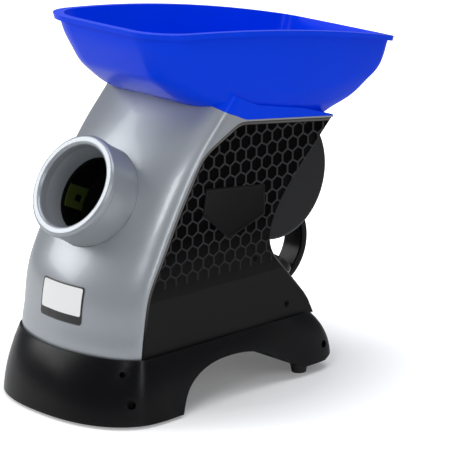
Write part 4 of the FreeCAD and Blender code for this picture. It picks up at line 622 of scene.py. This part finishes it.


# ---------------------------------------------- painted shade inside the barrel, near black

def barrel_painted_shade_finish():
    material = plastic("barrel_plastic", (0.3, 0.322, 0.345), roughness=0.3,
                       grain=0.05, grain_scale=1400, coat=0.3, flake=0.35)
    nodes, links = material.node_tree.nodes, material.node_tree.links
    place = nodes.new("ShaderNodeTexCoord")
    shift = nodes.new("ShaderNodeVectorMath")
    shift.operation = "SUBTRACT"
    shift.inputs[1].default_value = tuple(mouth)
    links.new(place.outputs["Object"], shift.inputs[0])
    along = nodes.new("ShaderNodeVectorMath")
    along.operation = "DOT_PRODUCT"
    along.inputs[1].default_value = tuple(line_way)
    links.new(shift.outputs[0], along.inputs[0])
    across = nodes.new("ShaderNodeVectorMath")
    across.operation = "CROSS_PRODUCT"
    across.inputs[1].default_value = tuple(line_way)
    links.new(shift.outputs[0], across.inputs[0])
    reach = nodes.new("ShaderNodeVectorMath")
    reach.operation = "LENGTH"
    links.new(across.outputs[0], reach.inputs[0])
    deep = nodes.new("ShaderNodeMath")
    deep.operation = "GREATER_THAN"
    deep.inputs[1].default_value = SHADE_FROM
    links.new(along.outputs["Value"], deep.inputs[0])
    near = nodes.new("ShaderNodeMath")
    near.operation = "LESS_THAN"
    near.inputs[1].default_value = SHADE_RADIUS
    links.new(reach.outputs["Value"], near.inputs[0])
    both = nodes.new("ShaderNodeMath")
    both.operation = "MULTIPLY"
    links.new(deep.outputs[0], both.inputs[0])
    links.new(near.outputs[0], both.inputs[1])
    # painted shade: the deep inside of the barrel turns near black
    shaded(material, both.outputs[0], (0.004, 0.004, 0.004))
    return material


for item in frame["nodes"]["launch_barrel"].material_slots:
    item.material = barrel_painted_shade_finish()


# ------------------------------------------------------------------- studio

def studio():
    scene = bpy.context.scene
    scene.view_settings.view_transform = "Standard"
    world = bpy.data.worlds.new("studio_world")
    scene.world = world
    world.use_nodes = True
    nodes, links = world.node_tree.nodes, world.node_tree.links
    shade = nodes["Background"]
    shade.inputs["Color"].default_value = (0.9, 0.93, 1.0, 1)
    shade.inputs["Strength"].default_value = 0.3
    white = nodes.new("ShaderNodeBackground")
    white.inputs["Color"].default_value = (1, 1, 1, 1)
    white.inputs["Strength"].default_value = 1.0
    ray = nodes.new("ShaderNodeLightPath")
    mix = nodes.new("ShaderNodeMixShader")
    links.new(ray.outputs["Is Camera Ray"], mix.inputs[0])
    links.new(shade.outputs[0], mix.inputs[1])
    links.new(white.outputs[0], mix.inputs[2])
    links.new(mix.outputs[0], nodes["World Output"].inputs[0])

    bpy.ops.object.select_all(action="DESELECT")
    bpy.ops.mesh.primitive_plane_add(size=8, location=(0, 0, 0))
    floor = bpy.context.active_object
    floor.name = "floor"
    material, nodes, links, shader = new_material("floor_white")
    shader.inputs["Base Color"].default_value = (0.82, 0.82, 0.82, 1)
    shader.inputs["Roughness"].default_value = 0.6
    shader.inputs["Specular IOR Level"].default_value = 0.2
    glow = nodes.new("ShaderNodeEmission")
    where = nodes.new("ShaderNodeTexCoord")
    away = nodes.new("ShaderNodeVectorMath")
    away.operation = "LENGTH"
    links.new(where.outputs["Object"], away.inputs[0])
    far = nodes.new("ShaderNodeMapRange")
    far.inputs["From Min"].default_value = 0.12
    far.inputs["From Max"].default_value = 0.42
    far.inputs["To Min"].default_value = 0.12
    far.inputs["To Max"].default_value = 1.0
    links.new(away.outputs["Value"], far.inputs["Value"])
    links.new(far.outputs["Result"], glow.inputs["Strength"])
    ray = nodes.new("ShaderNodeLightPath")
    dark = nodes.new("ShaderNodeEmission")
    dark.inputs["Strength"].default_value = 0.0
    pick_glow = nodes.new("ShaderNodeMixShader")
    links.new(ray.outputs["Is Camera Ray"], pick_glow.inputs[0])
    links.new(dark.outputs[0], pick_glow.inputs[1])
    links.new(glow.outputs[0], pick_glow.inputs[2])
    both = nodes.new("ShaderNodeAddShader")
    links.new(shader.outputs[0], both.inputs[0])
    links.new(pick_glow.outputs[0], both.inputs[1])
    links.new(both.outputs[0], nodes["Material Output"].inputs[0])
    floor.data.materials.append(material)

    def look_at(thing, aim):
        way = [a - b for a, b in zip(aim, thing.location)]
        flat = math.hypot(way[0], way[1])
        thing.rotation_euler = (math.atan2(flat, -way[2]), 0,
                                math.atan2(way[1], way[0]) - math.pi / 2)

    def lamp(name, size, power, place):
        light = bpy.data.lights.new(name, "AREA")
        light.shape = "RECTANGLE"
        light.size, light.size_y = size
        light.energy = power
        thing = bpy.data.objects.new(name, light)
        scene.collection.objects.link(thing)
        thing.location = place
        look_at(thing, (0, -0.03, 0.18))

    lamp("key_left", size=(1.1, 1.1), power=17, place=(-1.2, -1.0, 0.95))
    lamp("front_soft", size=(0.4, 0.5), power=6, place=(0.95, -1.5, 1.35))
    lamp("fill_right", size=(0.4, 1.2), power=8, place=(1.9, -0.35, 0.8))
    lamp("top_soft", size=(1.4, 1.4), power=19, place=(0.1, 0.1, 1.7))

    eye = bpy.data.cameras.new("camera")
    eye.lens = 215.67
    eye.sensor_width = 36.0
    view = bpy.data.objects.new("camera", eye)
    scene.collection.objects.link(view)
    view.location = (1.8449, -1.7183, 0.8596)
    look_at(view, (0.1474, -0.1058, 0.19))
    scene.camera = view


studio()
